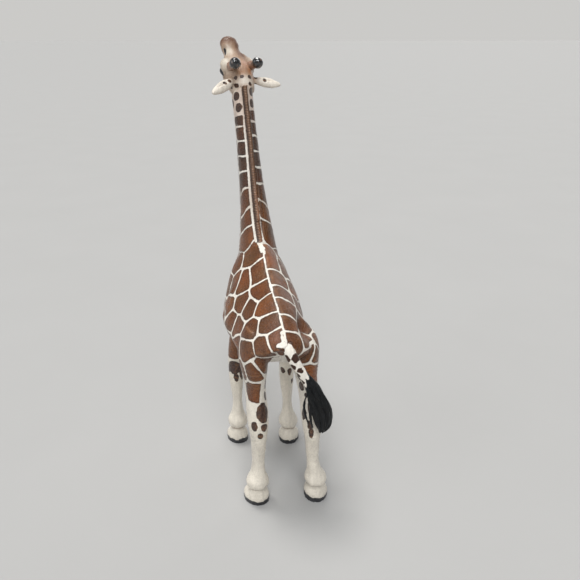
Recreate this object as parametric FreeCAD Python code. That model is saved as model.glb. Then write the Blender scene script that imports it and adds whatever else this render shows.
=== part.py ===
"""Giraffe figure moulded in vinyl: a hollow two-part torso with neck, head, ears, horns, legs and tail plugged in.

Millimetres. +Z is up, the giraffe faces -Y and its left side is +X. The origin is on the ground under the middle of
the figure's overall box. Each piece is one closed solid, and pegs fit their sockets with a thin gap for adhesive.
"""

import FreeCAD, Part
import math
import os
from FreeCAD import Vector

UP = Vector(0, 0, 1)

# Driving dimensions
WALL = 2.6  # thickness of the torso shells
GLUE_GAP = 0.05  # radial room for adhesive round each peg
LEG_SEAM = 56.0  # height of the seam where each leg plugs into the torso
PEG_DEPTH = 8.0  # how far the leg and neck pegs reach into the torso
HEAD_PEG_DEPTH = 5.0
TAIL_PEG_DEPTH = 5.5
SMALL_PEG_DEPTH = 2.6  # for the ears and horns
PEG_ROOT = 1.0  # how far each peg is rooted in its own piece
CAVITY_FRONT = -19.0  # the torso is solid beyond these, where the neck and the tail plug in
CAVITY_BACK = 19.0
BOSS_WALL = 1.6  # thickness of the bosses round the leg pegs
# Peg radii
LEG_PEG = 2.6
NECK_PEG = 4.0
HEAD_PEG = 2.2
TAIL_PEG = 1.3
EAR_PEG = 0.8
HORN_PEG = 0.9
# Locating pins that line the two torso shells up: radius, depth, root and places as (Y, Z)
DOWEL = 0.9
DOWEL_DEPTH = 2.0
DOWEL_ROOT = 0.6
DOWELS = ((-31.0, 76.0), (-25.5, 67.5), (24.5, 66.0), (21.8, 79.5))

RING_POINTS = 16  # points that each cross-section's closed curve passes through

# Torso cross-sections: (place along Y, top, bottom, height of the widest level, half-width, sway to the left)
TORSO = (
    (31.2, 75.6, 71.6, 73.2, 3.0, 0.0),
    (29.6, 77.2, 69.6, 72.4, 6.4, 0.0),
    (26.0, 80.2, 66.6, 71.4, 10.4, 0.2),
    (19.0, 84.6, 63.2, 69.6, 13.4, 0.6),
    (10.0, 88.6, 61.8, 69.4, 14.4, 1.6),
    (0.0, 92.4, 60.8, 70.2, 15.6, 2.0),
    (-10.0, 96.6, 60.0, 71.2, 15.8, 2.0),
    (-19.0, 99.4, 61.0, 73.8, 14.2, 1.5),
    (-27.0, 99.8, 64.0, 78.0, 11.6, 0.8),
    (-34.0, 96.6, 69.5, 82.0, 8.8, 0.2),
    (-38.6, 91.0, 75.6, 83.0, 4.4, 0.0),
)
BACK_SHARPNESS = 1.38  # above 1 narrows the back towards a ridge
BELLY_SHARPNESS = 0.9  # below 1 makes the belly fuller than an ellipse

# Neck cross-sections from inside the shoulders up to the skull: (centre, half-width, half-depth)
NECK = (
    (Vector(0.0, -24.4, 84.0), 9.4, 14.0),
    (Vector(0.0, -27.2, 93.0), 7.7, 12.6),
    (Vector(0.1, -30.2, 103.0), 6.4, 10.8),
    (Vector(0.4, -34.2, 114.0), 5.3, 9.0),
    (Vector(0.8, -38.0, 126.0), 4.7, 7.4),
    (Vector(1.2, -41.4, 138.0), 4.35, 6.3),
    (Vector(1.7, -44.6, 150.0), 4.3, 5.7),
    (Vector(1.95, -46.4, 157.0), 4.1, 5.3),
)
NECK_SEAM_POINT = Vector(0.0, -28.0, 93.0)
NECK_SEAM_NORMAL = Vector(0.0, -0.34, 0.94)
HEAD_SEAM = 1.6  # how far along the head's axis its seam with the neck is

# Mane: a low ridge up the back of the neck
MANE_HALF_WIDTH = 1.3
MANE_HALF_DEPTH = 1.5
MANE_SUNK = 0.5  # how far its middle is under the skin of the neck
MANE_DIRECTION = Vector(0.0, 0.93, 0.36)  # square to the back of the neck
MANE_DRIFT = 0.9  # how far its top end has drifted to the right, as the neck twists
MANE_STARTS = 2  # the first neck section that carries it

# Head, along an axis from the neck's top to the muzzle: (distance, half-width, rise of crown, drop of jaw)
HEAD_BASE = Vector(0.5, -45.2, 153.0)
HEAD_PITCH = 54.0  # degrees the muzzle points above level
HEAD_YAW = 17.0  # degrees the head turns to its left
HEAD = (
    (-1.5, 3.6, 4.4, 4.4),
    (2.0, 4.4, 5.2, 5.4),
    (6.0, 5.2, 5.9, 6.6),
    (10.0, 5.7, 5.8, 6.9),
    (14.0, 5.3, 4.8, 6.0),
    (18.0, 3.9, 3.4, 4.6),
    (21.5, 3.2, 2.6, 3.8),
    (24.5, 3.3, 2.5, 3.4),
    (26.8, 2.8, 2.0, 2.5),
    (28.0, 1.4, 0.9, 1.2),
)
BROW_PLACE = (13.2, 4.6, 1.6)  # distance, sideways and crown-ward
BROW_RADIUS = 2.6

# Horns: short stalks with a round knob, pointing back from the crown
HORN_PLACE = (11.6, 4.4, 4.2)
HORN_LENGTH = 7.6
HORN_STALK = 1.5
HORN_KNOB = 2.3
HORN_FOOT = 1.9  # radius where the stalk meets the crown
HORN_FOOT_DEPTH = 0.4  # how far the foot starts under the crown
HORN_WAIST = 3.4  # height of the stalk's narrowest place
KNOB_START = -42.0  # degrees round the knob where the stalk runs into it
HORN_LEAN = 22.0  # degrees back from square to the crown
HORN_SPLAY = 7.0

# Ears: flattened leaves held out sideways
EAR_PLACE = (6.2, 5.0, 1.9)
EAR_DROOP = {1: 31.0, -1: 23.0}  # degrees each ear hangs below square to the head, left then right
EAR_SWEEP = 14.0
EAR_LENGTH = 12.0
# Ear cross-sections: (share of the length, half-width, half-thickness)
EAR = (
    (0.0, 1.3, 1.2),
    (0.18, 1.75, 1.3),
    (0.42, 2.25, 1.25),
    (0.66, 1.95, 1.0),
    (0.86, 1.15, 0.7),
    (1.0, 0.4, 0.3),
)

# Legs. Each section: (height, half-width, half-depth, set back from the hoof, share of the leg's lean)
HIND_LEG = (
    (0.0, 4.9, 6.1, 0.0, 0.0),
    (2.6, 4.8, 5.8, 0.2, 0.0),
    (5.2, 3.9, 4.4, 1.2, 0.1),
    (6.8, 3.5, 3.8, 1.9, 0.1),
    (9.4, 3.9, 4.2, 2.4, 0.2),
    (13.0, 3.2, 3.5, 2.6, 0.4),
    (19.0, 2.75, 3.2, 2.8, 0.7),
    (28.0, 2.75, 3.5, 3.6, 0.9),
    (34.0, 3.2, 4.6, 4.2, 1.0),
    (39.0, 3.9, 5.2, 3.8, 1.0),
    (45.0, 4.1, 5.4, 2.2, 1.0),
    (51.0, 3.9, 6.6, 0.2, 1.0),
    (58.0, 4.5, 9.0, -1.8, 1.0),
    (66.0, 5.4, 10.2, -3.4, 1.0),
    (72.0, 4.7, 8.6, -4.0, 1.0),
    (77.0, 2.3, 4.8, -4.2, 1.0),
)
FORE_LEG = (
    (0.0, 4.8, 6.0, 0.0, 0.0),
    (2.6, 4.7, 5.7, 0.2, 0.0),
    (5.2, 3.8, 4.3, 0.9, 0.1),
    (6.9, 3.4, 3.7, 1.3, 0.2),
    (9.8, 3.8, 4.1, 1.6, 0.5),
    (13.6, 3.1, 3.4, 1.6, 0.7),
    (19.0, 2.5, 3.0, 1.4, 0.9),
    (27.0, 2.6, 3.1, 0.9, 1.0),
    (33.0, 3.2, 3.8, 0.4, 1.0),
    (38.0, 3.3, 3.8, 0.5, 1.0),
    (45.0, 3.5, 4.2, 1.2, 1.0),
    (52.0, 4.2, 5.6, 1.6, 1.0),
    (60.0, 5.0, 7.6, 1.2, 1.0),
    (70.0, 5.4, 9.2, -0.6, 1.0),
    (79.0, 4.6, 8.6, -3.2, 1.0),
    (86.0, 2.4, 5.0, -4.6, 1.0),
)
# Each leg: its hoof's place on the ground, how far the hoof turns out in degrees, and how far the leg leans in
LEGS = {
    "hind_left_leg": (10.6, 18.8, 28.0, 0.8),
    "hind_right_leg": (-13.8, 22.0, 12.0, 3.0),
    "front_left_leg": (12.2, -23.4, 18.0, 0.4),
    "front_right_leg": (-11.4, -17.8, 12.0, 1.0),
}
# Each pair: its sections, and where the body holds them: distance from the median plane, and place along Y
PAIRS = {"hind": (HIND_LEG, 9.7, 15.4), "front": (FORE_LEG, 7.2, -24.2)}
LEG_FREE_BELOW = 42.0  # below this height a leg keeps its own stance
LEG_HELD_ABOVE = 66.0  # above this it is where the body holds it
TOE_CLEFT_WIDTH = 0.7
TOE_CLEFT_DEPTH = 2.6
TOE_CLEFT_HEIGHT = 3.4
TOE_CLEFT_MARGIN = 0.1

# Tail: a tapering dock that curves to the right, then a flattened tuft: (centre, half-width, half-depth)
TAIL_ROOT = Vector(-0.2, 29.0, 74.6)
TAIL = (
    (Vector(-0.2, 28.6, 75.0), 2.2, 2.2),
    (Vector(-0.9, 31.2, 72.8), 2.1, 1.9),
    (Vector(-3.3, 33.0, 67.9), 1.8, 1.5),
    (Vector(-5.8, 33.8, 63.8), 1.8, 1.4),
    (Vector(-7.8, 34.0, 60.2), 2.5, 1.6),
    (Vector(-10.0, 34.2, 54.4), 3.3, 1.8),
    (Vector(-12.1, 34.3, 48.6), 3.8, 1.8),
    (Vector(-12.8, 34.2, 44.0), 3.2, 1.7),
    (Vector(-12.3, 34.0, 39.4), 1.1, 0.7),
)


def ring(centre, side, up, half_width, rise, drop=None, sharpness_up=1.0, sharpness_down=1.0, sway=0.0):
    """A closed curve round centre: half_width each way along side, rise along up and drop against it.

    Sway moves all but the top of the curve along side."""
    drop = rise if drop is None else drop
    points = []
    for k in range(RING_POINTS):
        angle = 2 * math.pi * k / RING_POINTS
        sharpness = sharpness_up if math.sin(angle) > 0 else sharpness_down
        across = math.copysign(abs(math.cos(angle)) ** sharpness, math.cos(angle))
        along = math.copysign(abs(math.sin(angle)) ** sharpness, math.sin(angle))
        reach = rise if along > 0 else drop
        points.append(centre + side * (half_width * across + sway * (1 - max(0.0, along))) + up * (reach * along))
    curve = Part.BSplineCurve()
    curve.interpolate(points, PeriodicFlag=True)
    return Part.Wire([curve.toShape()])


def loft(rings):
    """A smooth closed solid through rings."""
    return Part.makeLoft(rings, True, False, False)


def unit(vector):
    return Vector(vector).normalize()


def sweep_rings(stations):
    """Rings square to the path through the stations' centres, flattened front to back."""
    centres = [station[0] for station in stations]
    rings = []
    for k, (centre, half_width, half_depth) in enumerate(stations):
        ahead = centres[min(k + 1, len(centres) - 1)] - centres[max(k - 1, 0)]
        side = unit(Vector(1, 0, 0) - unit(ahead) * unit(ahead).x)
        rings.append(ring(centre, side, unit(ahead).cross(side), half_width, half_depth))
    return rings


def rod(start, direction, radius, length):
    return Part.makeCylinder(radius, length, start, unit(direction))


def half_space(point, normal, size=400.0):
    """A box that fills the side of a plane that its normal points to."""
    box = Part.makeBox(size, size, size, Vector(-size / 2, -size / 2, 0))
    box.Placement = FreeCAD.Placement(point, FreeCAD.Rotation(UP, unit(normal)))
    return box


def one_solid(shape):
    """The largest solid of a boolean result."""
    return max(shape.Solids, key=lambda solid: solid.Volume)


def torso_section(y, top, bottom, widest, half_width, sway, inset=0.0):
    """One closed cross-section of the barrel, moved in by inset all round."""
    centre, width = Vector(0, y, widest), half_width - inset
    rise, drop = top - widest - inset, widest - bottom - inset
    return ring(centre, Vector(1, 0, 0), UP, width, rise, drop, BACK_SHARPNESS, BELLY_SHARPNESS, sway)


def torso_skin():
    return loft([torso_section(*station) for station in TORSO])


def torso_cavity():
    """The hollow of the barrel, less the bosses round the leg pegs."""
    stations = [station for station in TORSO if CAVITY_FRONT <= station[0] <= CAVITY_BACK]
    cavity = loft([torso_section(*station, inset=WALL) for station in stations])
    for name in LEGS:
        cavity = cavity.cut(rod(leg_peg_start(name), UP, LEG_PEG + BOSS_WALL, PEG_DEPTH + BOSS_WALL))
    return cavity


def limb_centre(name, section):
    """The middle of one leg section: over the hoof low down, and where the body holds the leg high up."""
    height, _, _, back, lean_share = section
    hoof_x, hoof_y, _, lean = LEGS[name]
    _, held_x, held_y = PAIRS[name.split("_")[0]]
    held = min(1.0, max(0.0, (height - LEG_FREE_BELOW) / (LEG_HELD_ABOVE - LEG_FREE_BELOW)))
    held = held * held * (3 - 2 * held)
    free_x, free_y = abs(hoof_x) - lean * lean_share, hoof_y + back
    x = free_x + (held_x - free_x) * held
    return Vector(math.copysign(x, hoof_x), free_y + (held_y - free_y) * held, height)


def limb(name):
    """A leg's full loft, from the sole up to its muscle inside the torso."""
    hoof_x, _, toe_out, _ = LEGS[name]
    rings = []
    for section in PAIRS[name.split("_")[0]][0]:
        height, half_width, half_depth = section[:3]
        turn = math.radians(math.copysign(toe_out, hoof_x) * max(0.0, 1 - height / LEG_FREE_BELOW))
        side = Vector(math.cos(turn), math.sin(turn), 0)
        back = Vector(-math.sin(turn), math.cos(turn), 0)
        rings.append(ring(limb_centre(name, section), side, back, half_width, half_depth))
    return loft(rings)


def leg_peg_start(name):
    """A point just below the seam, on the leg's middle line."""
    sections = PAIRS[name.split("_")[0]][0]
    at_seam = min(sections, key=lambda section: abs(section[0] - LEG_SEAM))
    centre = limb_centre(name, at_seam)
    return Vector(centre.x, centre.y, LEG_SEAM - PEG_ROOT)


def head_axes():
    """Unit vectors along the head to the muzzle, out through the crown, and to the head's left."""
    pitch, yaw = math.radians(HEAD_PITCH), math.radians(HEAD_YAW)
    along = Vector(math.sin(yaw) * math.cos(pitch), -math.cos(yaw) * math.cos(pitch), math.sin(pitch))
    crown = Vector(-math.sin(yaw) * math.sin(pitch), math.cos(yaw) * math.sin(pitch), math.cos(pitch))
    left = Vector(math.cos(yaw), math.sin(yaw), 0)
    return along, crown, left


def head_point(place, mirror=1):
    """A point given as (distance along the head, sideways, crown-ward)."""
    along, crown, left = head_axes()
    return HEAD_BASE + along * place[0] + left * (place[1] * mirror) + crown * place[2]


def neck_solid():
    """The whole neck with its mane, running on into the shoulders below and the skull above."""
    mane = []
    carriers = NECK[MANE_STARTS:]
    for k, (centre, _, half_depth) in enumerate(carriers):
        drift = Vector(-MANE_DRIFT * k / (len(carriers) - 1), 0, 0)
        middle = centre + drift + MANE_DIRECTION * (half_depth - MANE_SUNK)
        mane.append((middle, MANE_HALF_WIDTH, MANE_HALF_DEPTH))
    return loft(sweep_rings(NECK)).fuse(loft(sweep_rings(mane)))


def head_solid():
    along, crown, left = head_axes()
    rings = []
    for distance, half_width, rise, drop in HEAD:
        rings.append(ring(HEAD_BASE + along * distance, left, crown, half_width, rise, drop))
    solid = loft(rings)
    for mirror in (1, -1):
        brow = Part.makeSphere(BROW_RADIUS, head_point(BROW_PLACE, mirror))
        solid = solid.fuse(brow)
    return solid


def horn_direction(mirror):
    along, crown, left = head_axes()
    lean, splay = math.radians(HORN_LEAN), math.radians(HORN_SPLAY)
    return unit(crown * math.cos(lean) - along * math.sin(lean) + left * (mirror * math.sin(splay)))


def horn_solid(mirror):
    """A stalk that narrows, then swells into a round knob, turned about its own axis."""
    middle = Vector(0, 0, HORN_LENGTH - HORN_KNOB)
    start, halfway = math.radians(KNOB_START), math.radians(KNOB_START / 2 + 45)
    knob_start = middle + Vector(math.cos(start), 0, math.sin(start)) * HORN_KNOB
    knob_halfway = middle + Vector(math.cos(halfway), 0, math.sin(halfway)) * HORN_KNOB
    tip, foot = Vector(0, 0, HORN_LENGTH), Vector(0, 0, -HORN_FOOT_DEPTH)
    foot_edge, waist = Vector(HORN_FOOT, 0, -HORN_FOOT_DEPTH), Vector(HORN_STALK, 0, HORN_WAIST)
    outline = Part.Wire([
        Part.makeLine(foot, foot_edge),
        Part.makeLine(foot_edge, waist),
        Part.makeLine(waist, knob_start),
        Part.Arc(knob_start, knob_halfway, tip).toShape(),
        Part.makeLine(tip, foot),
    ])
    solid = Part.Face(outline).revolve(Vector(0, 0, 0), UP, 360)
    lean = FreeCAD.Rotation(UP, horn_direction(mirror))
    solid.Placement = FreeCAD.Placement(head_point(HORN_PLACE, mirror), lean)
    return solid


def ear_axes(mirror):
    """Unit vectors out along the ear, across its blade, and through its thickness."""
    along, crown, left = head_axes()
    droop, sweep = math.radians(EAR_DROOP[mirror]), math.radians(EAR_SWEEP)
    out = unit(left * (mirror * math.cos(droop)) - along * math.sin(droop) + crown * math.sin(sweep))
    across = unit(along - out * along.dot(out))
    return out, across, out.cross(across)


def ear_solid(mirror):
    out, across, thick = ear_axes(mirror)
    root = head_point(EAR_PLACE, mirror)
    rings = []
    for share, half_width, half_thick in EAR:
        rings.append(ring(root + out * (share * EAR_LENGTH), across, thick, half_width, half_thick))
    return loft(rings)


def hoof_cleft(name):
    """The slot between the two toes, cut up into the front of a hoof from just under its sole."""
    hoof_x, hoof_y, toe_out, _ = LEGS[name]
    toe = PAIRS[name.split("_")[0]][0][0][2]
    corner = Vector(-TOE_CLEFT_WIDTH / 2, TOE_CLEFT_DEPTH - 2 * toe, 0)
    box = Part.makeBox(TOE_CLEFT_WIDTH, toe, TOE_CLEFT_HEIGHT, corner)
    turn = FreeCAD.Rotation(UP, math.copysign(toe_out, hoof_x))
    box.Placement = FreeCAD.Placement(Vector(hoof_x, hoof_y, -TOE_CLEFT_MARGIN), turn)
    return box


def make_torso_whole(neck):
    """The torso's skin shape, solid: the barrel, the tops of the legs and the root of the neck."""
    torso = torso_skin()
    for name in LEGS:
        torso = torso.fuse(limb(name).common(half_space(Vector(0, 0, LEG_SEAM), UP)))
    return one_solid(torso.fuse(neck.copy()).common(half_space(NECK_SEAM_POINT, NECK_SEAM_NORMAL * -1)))


def make_leg(name):
    lower = limb(name).common(half_space(Vector(0, 0, LEG_SEAM), Vector(0, 0, -1)))
    lower = lower.cut(hoof_cleft(name))
    return one_solid(lower.fuse(rod(leg_peg_start(name), UP, LEG_PEG, PEG_ROOT + PEG_DEPTH)))


def neck_peg_line():
    """Where the neck's peg starts, and the way it points into the torso."""
    axis = unit(NECK[1][0] - NECK[3][0])
    return NECK_SEAM_POINT - axis * PEG_ROOT, axis


def head_seam_point():
    return HEAD_BASE + head_axes()[0] * HEAD_SEAM


def make_neck(neck):
    along = head_axes()[0]
    piece = neck.copy().common(half_space(NECK_SEAM_POINT, NECK_SEAM_NORMAL))
    piece = one_solid(piece.common(half_space(head_seam_point(), along * -1)))
    start, axis = neck_peg_line()
    piece = piece.fuse(rod(start, axis, NECK_PEG, PEG_ROOT + PEG_DEPTH))
    piece = piece.fuse(rod(head_seam_point() - along * PEG_ROOT, along, HEAD_PEG, PEG_ROOT + HEAD_PEG_DEPTH))
    return one_solid(piece)


def make_shell(torso, side, mirror):
    """One half of the torso, hollowed behind the shoulders and bored for the pegs that plug into it."""
    shell = torso.copy().common(half_space(Vector(0, 0, 0), Vector(mirror, 0, 0)))
    shell = shell.cut(torso_cavity())
    start, axis = neck_peg_line()
    shell = shell.cut(rod(start, axis, NECK_PEG + GLUE_GAP, PEG_ROOT + PEG_DEPTH + GLUE_GAP))
    for name in LEGS:
        if side in name:
            shell = shell.cut(rod(leg_peg_start(name), UP, LEG_PEG + GLUE_GAP, PEG_ROOT + PEG_DEPTH))
    shell = shell.cut(rod(TAIL_ROOT, tail_peg_axis(), TAIL_PEG + GLUE_GAP, TAIL_PEG_DEPTH + GLUE_GAP))
    return one_solid(shell)


def add_dowels(left_shell, right_shell):
    """Locating pins on the left shell, with holes for them in the right."""
    across = Vector(-1, 0, 0)
    length = DOWEL_ROOT + DOWEL_DEPTH
    for y, z in DOWELS:
        start = Vector(DOWEL_ROOT, y, z)
        left_shell = left_shell.fuse(rod(start, across, DOWEL, length))
        right_shell = right_shell.cut(rod(start, across, DOWEL + GLUE_GAP, length + GLUE_GAP))
    return one_solid(left_shell), one_solid(right_shell)


def tail_peg_axis():
    return unit(TAIL[0][0] - TAIL[1][0])


def make_tail(torso):
    tail = loft(sweep_rings(TAIL)).cut(torso.copy())
    start = TAIL_ROOT - tail_peg_axis() * PEG_ROOT
    return one_solid(tail.fuse(rod(start, tail_peg_axis(), TAIL_PEG, PEG_ROOT + TAIL_PEG_DEPTH)))


def make_head_pieces():
    """The head with its ears and horns, each of which plugs into it."""
    along = head_axes()[0]
    skull = one_solid(head_solid().common(half_space(head_seam_point(), along)))
    pieces = {}
    start = head_seam_point() - along * PEG_ROOT
    sockets = [rod(start, along, HEAD_PEG + GLUE_GAP, PEG_ROOT + HEAD_PEG_DEPTH + GLUE_GAP)]
    for side, mirror in (("left", 1), ("right", -1)):
        horn = ("_horn", horn_solid(mirror), HORN_PLACE, horn_direction(mirror), HORN_PEG)
        ear = ("_ear", ear_solid(mirror), EAR_PLACE, ear_axes(mirror)[0], EAR_PEG)
        for kind, solid, place, out, radius in (horn, ear):
            start = head_point(place, mirror) + out * PEG_ROOT
            peg = rod(start, out * -1, radius, PEG_ROOT + SMALL_PEG_DEPTH)
            pieces[side + kind] = one_solid(one_solid(solid.cut(skull.copy())).fuse(peg))
            sockets.append(rod(start, out * -1, radius + GLUE_GAP, PEG_ROOT + SMALL_PEG_DEPTH + GLUE_GAP))
    for socket in sockets:
        skull = skull.cut(socket)
    pieces["head"] = one_solid(skull)
    return pieces


def main():
    neck = neck_solid()
    torso = make_torso_whole(neck)
    left_shell = make_shell(torso, "left", 1)
    right_shell = make_shell(torso, "right", -1)
    pieces = {"neck": make_neck(neck), "tail": make_tail(torso)}
    pieces["torso_left_shell"], pieces["torso_right_shell"] = add_dowels(left_shell, right_shell)
    for name in LEGS:
        pieces[name] = make_leg(name)
    pieces.update(make_head_pieces())

    box = FreeCAD.BoundBox()
    for solid in pieces.values():
        box.add(solid.optimalBoundingBox(True))
    os.makedirs("parts", exist_ok=True)
    for name, solid in pieces.items():
        solid.translate(Vector(-box.Center.x, -box.Center.y, 0))
        solid.exportStep(os.path.join("parts", name + ".step"))
    print("shift", -box.Center.x, -box.Center.y, "size", box.XLength, box.YLength, box.ZLength)


main()
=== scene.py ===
"""A painted vinyl giraffe figure: its moulded skin, its hand-painted coat, a plain stage and a camera.

Lengths are millimetres in the figure's own frame, as in the CAD: x = 0 is the plane between the torso shells,
+x is the giraffe's left, -y is the way it faces, and z = 0 is the ground. to_scene() turns them into metres.
"""
import math

import bmesh
import bpy
import numpy as np
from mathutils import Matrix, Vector


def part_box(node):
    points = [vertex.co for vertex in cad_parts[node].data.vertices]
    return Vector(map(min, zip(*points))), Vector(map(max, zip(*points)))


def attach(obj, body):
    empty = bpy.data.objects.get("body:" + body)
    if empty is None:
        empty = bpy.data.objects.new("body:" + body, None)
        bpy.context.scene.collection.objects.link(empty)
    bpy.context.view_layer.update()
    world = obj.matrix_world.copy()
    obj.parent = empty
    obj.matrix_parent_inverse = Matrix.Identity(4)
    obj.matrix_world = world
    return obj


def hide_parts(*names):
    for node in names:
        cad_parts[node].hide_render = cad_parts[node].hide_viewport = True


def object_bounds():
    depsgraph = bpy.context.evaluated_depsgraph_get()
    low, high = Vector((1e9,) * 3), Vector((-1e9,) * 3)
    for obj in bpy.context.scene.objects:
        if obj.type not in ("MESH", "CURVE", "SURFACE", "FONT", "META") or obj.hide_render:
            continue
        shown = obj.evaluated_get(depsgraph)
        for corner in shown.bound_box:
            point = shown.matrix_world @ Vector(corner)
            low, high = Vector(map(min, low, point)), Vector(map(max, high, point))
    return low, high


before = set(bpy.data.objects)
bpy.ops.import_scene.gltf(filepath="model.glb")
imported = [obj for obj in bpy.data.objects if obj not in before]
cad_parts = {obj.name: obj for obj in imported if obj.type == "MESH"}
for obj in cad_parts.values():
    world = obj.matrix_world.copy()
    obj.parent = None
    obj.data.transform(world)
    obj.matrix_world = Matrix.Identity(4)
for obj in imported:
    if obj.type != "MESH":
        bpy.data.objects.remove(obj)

CAD_BOX = [list(corner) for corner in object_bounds()]

MM = 0.001
RUMP_Y = 31.2  # where the rear end of the torso is in the figure's frame
TORSO_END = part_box("torso_right_shell")[1]
ORIGIN = np.array((TORSO_END.x / MM, TORSO_END.y / MM - RUMP_Y, 0.0))

VOXEL = 0.36  # size of the skin's faces
SKIN_NODES = (
    "torso_left_shell", "torso_right_shell", "neck", "head", "left_ear", "right_ear",
    "front_left_leg", "front_right_leg", "hind_left_leg", "hind_right_leg",
)

# Seams between the moulded pieces
LEG_SEAM = 56.0
NECK_SEAM = np.array((0.0, -28.0, 93.0))
NECK_SEAM_NORMAL = np.array((0.0, -0.34, 0.94))
EAR_REACH = (2.0, -0.7)  # how much further the left and the right ear reach than their rounded skin
EAR_SEAM = 1.6  # how far out along each ear it joins the head
EAR_LENGTH = 12.0  # of what shows of it, without its peg
EAR_REGION = 5.0  # all of an ear lies within this of its middle line
HEAD_LEVEL = 140.0  # the head and ears lie above this, and the rest of the figure below it or on the neck

# The head's axes: it points up and to its left
HEAD_BASE = np.array((0.5, -45.2, 153.0))
HEAD_PITCH, HEAD_YAW = math.radians(54.0), math.radians(17.0)
HEAD_SEAM = 1.6
SEAM_REACH = 2.0  # only faces within this of a seam are cut along it

# Paint, as linear colours
CREAM = np.array((0.78, 0.73, 0.65))
LEG_CREAM = np.array((0.75, 0.69, 0.59))
HEAD_TAN = np.array((0.38, 0.245, 0.16))
EAR_CREAM = np.array((0.78, 0.71, 0.61))
BROWN = np.array((0.120, 0.039, 0.009))
SPOT_BROWN = np.array((0.046, 0.020, 0.012))
MANE_BROWN = np.array((0.050, 0.022, 0.013))
MANE_RUST = np.array((0.27, 0.09, 0.028))
TINT_BROWN = np.array((0.13, 0.055, 0.028))
POLL_RUST = np.array((0.34, 0.13, 0.035))
CHEEK_WHITE = np.array((0.66, 0.60, 0.50))
LINE_TAN = np.array((0.34, 0.20, 0.11))
PINK_TAN = np.array((0.52, 0.29, 0.20))
HORN_TAN = np.array((0.27, 0.15, 0.095))
SHADE_AND_GRIME = (0.30, 0.20, 0.13)  # painted shade in the hollows of the pale ground, also laid in random blotches as grime
# Painted highlight: the coat is lightened toward this colour on its raised ridges, as if lit
RIDGE_HIGHLIGHT = (0.36, 0.17, 0.07)
TUFT_HIGHLIGHT = (0.62, 0.42, 0.28)  # painted highlights on the tips of the mane's tufts
BLACK = (0.018, 0.018, 0.020)
# The second colour here is a painted reflection: bluish grey mottled into the horn balls' black
BALL_BLACK, BALL_REFLECTION = (0.006, 0.007, 0.008), (0.026, 0.030, 0.036)
# The second colour here is a painted highlight: lighter streaks along the tail's black hair
HAIR_BLACK, HAIR_HIGHLIGHT = (0.0015, 0.002, 0.0025), (0.012, 0.015, 0.018)
# Airbrushed colour on top of the head: paint, strength, place along and across it, half length, half width
HEAD_TINTS = (
    (CREAM, 0.75, 4.0, 0.6, 2.6, 4.0),
    (CHEEK_WHITE, 0.95, 14.3, 6.4, 4.2, 2.6), (CHEEK_WHITE, 0.8, 14.3, -6.4, 4.0, 2.2),
    (TINT_BROWN, 0.90, 17.6, -2.0, 3.4, 1.9), (TINT_BROWN, 0.95, 22.5, -2.3, 4.5, 1.5),
    (TINT_BROWN, 0.45, 24.0, 1.2, 2.0, 2.4), (CHEEK_WHITE, 0.85, 20.2, 2.6, 2.2, 1.6),
    # The second rust tint, below the left horn, is partly rust paint and partly painted shade under the horn
    (POLL_RUST, 0.95, 8.0, -3.0, 2.1, 2.0), (POLL_RUST, 0.70, 8.0, 1.6, 1.6, 1.6),
    (PINK_TAN, 0.75, 11.6, -1.2, 2.6, 1.8),
)
TAN_LINE_PLACE = -1.2  # right of the neck's middle: the further this is from the mane, the tanner the pale lines
HALF_LINE = 0.40  # half the width of the pale lines between patches


def to_scene(points):
    """Figure millimetres to scene metres."""
    return (np.asarray(points, float) + ORIGIN) * MM


def to_figure(points):
    return np.asarray(points, float) / MM - ORIGIN


def unit(vector):
    vector = np.asarray(vector, float)
    return vector / np.linalg.norm(vector)


def ramp(values, low, high):
    """0 below low, 1 above high, and smooth between."""
    share = np.clip((values - low) / (high - low), 0.0, 1.0)
    return share * share * (3 - 2 * share)


def fall(values, low, high):
    """1 below low, 0 above high, and smooth between."""
    return ramp(-values, -high, -low)


def bell(values, middle, width):
    """1 at the middle, and falling away smoothly over the width on each side."""
    return np.exp(-((values - middle) / width) ** 2)


def wander(points, size, seed, terms=7):
    """A smooth field between about -1 and 1 that changes over size."""
    random = np.random.default_rng(seed)
    total = np.zeros(len(points))
    for _ in range(terms):
        direction = unit(random.normal(size=3)) * random.uniform(0.7, 1.4)
        total += np.sin(points @ direction * (2 * math.pi / size) + random.uniform(0, 2 * math.pi))
    return total / math.sqrt(terms / 2) / 1.6


def mound(points, centre, radii, height):
    gap = (points - np.asarray(centre)) / np.asarray(radii)
    return height * np.exp(-(gap * gap).sum(1))


# ---- meshes

def merged_nodes(names, locks=()):
    """One mesh with the surfaces of several CAD nodes, and with any locks of hair."""
    bm = bmesh.new()
    for name in names:
        bm.from_mesh(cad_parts[name].data)
    for points in locks:
        add_lock(bm, points)
    bmesh.ops.remove_doubles(bm, verts=bm.verts, dist=1e-3 * MM)
    mesh = bpy.data.meshes.new("surfaces")
    bm.to_mesh(mesh)
    bm.free()
    return mesh


def voxel_skin(names, voxel, locks=()):
    """One closed skin round several CAD nodes, without what is inside it."""
    holder = bpy.data.objects.new("skin_holder", merged_nodes(names, locks))
    bpy.context.scene.collection.objects.link(holder)
    remesh = holder.modifiers.new("voxels", "REMESH")
    remesh.mode = "VOXEL"
    remesh.voxel_size = voxel * MM
    evaluated = holder.evaluated_get(bpy.context.evaluated_depsgraph_get())
    mesh = bpy.data.meshes.new_from_object(evaluated)
    bpy.data.objects.remove(holder)
    mesh.materials.clear()
    return largest_island(mesh)


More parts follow.
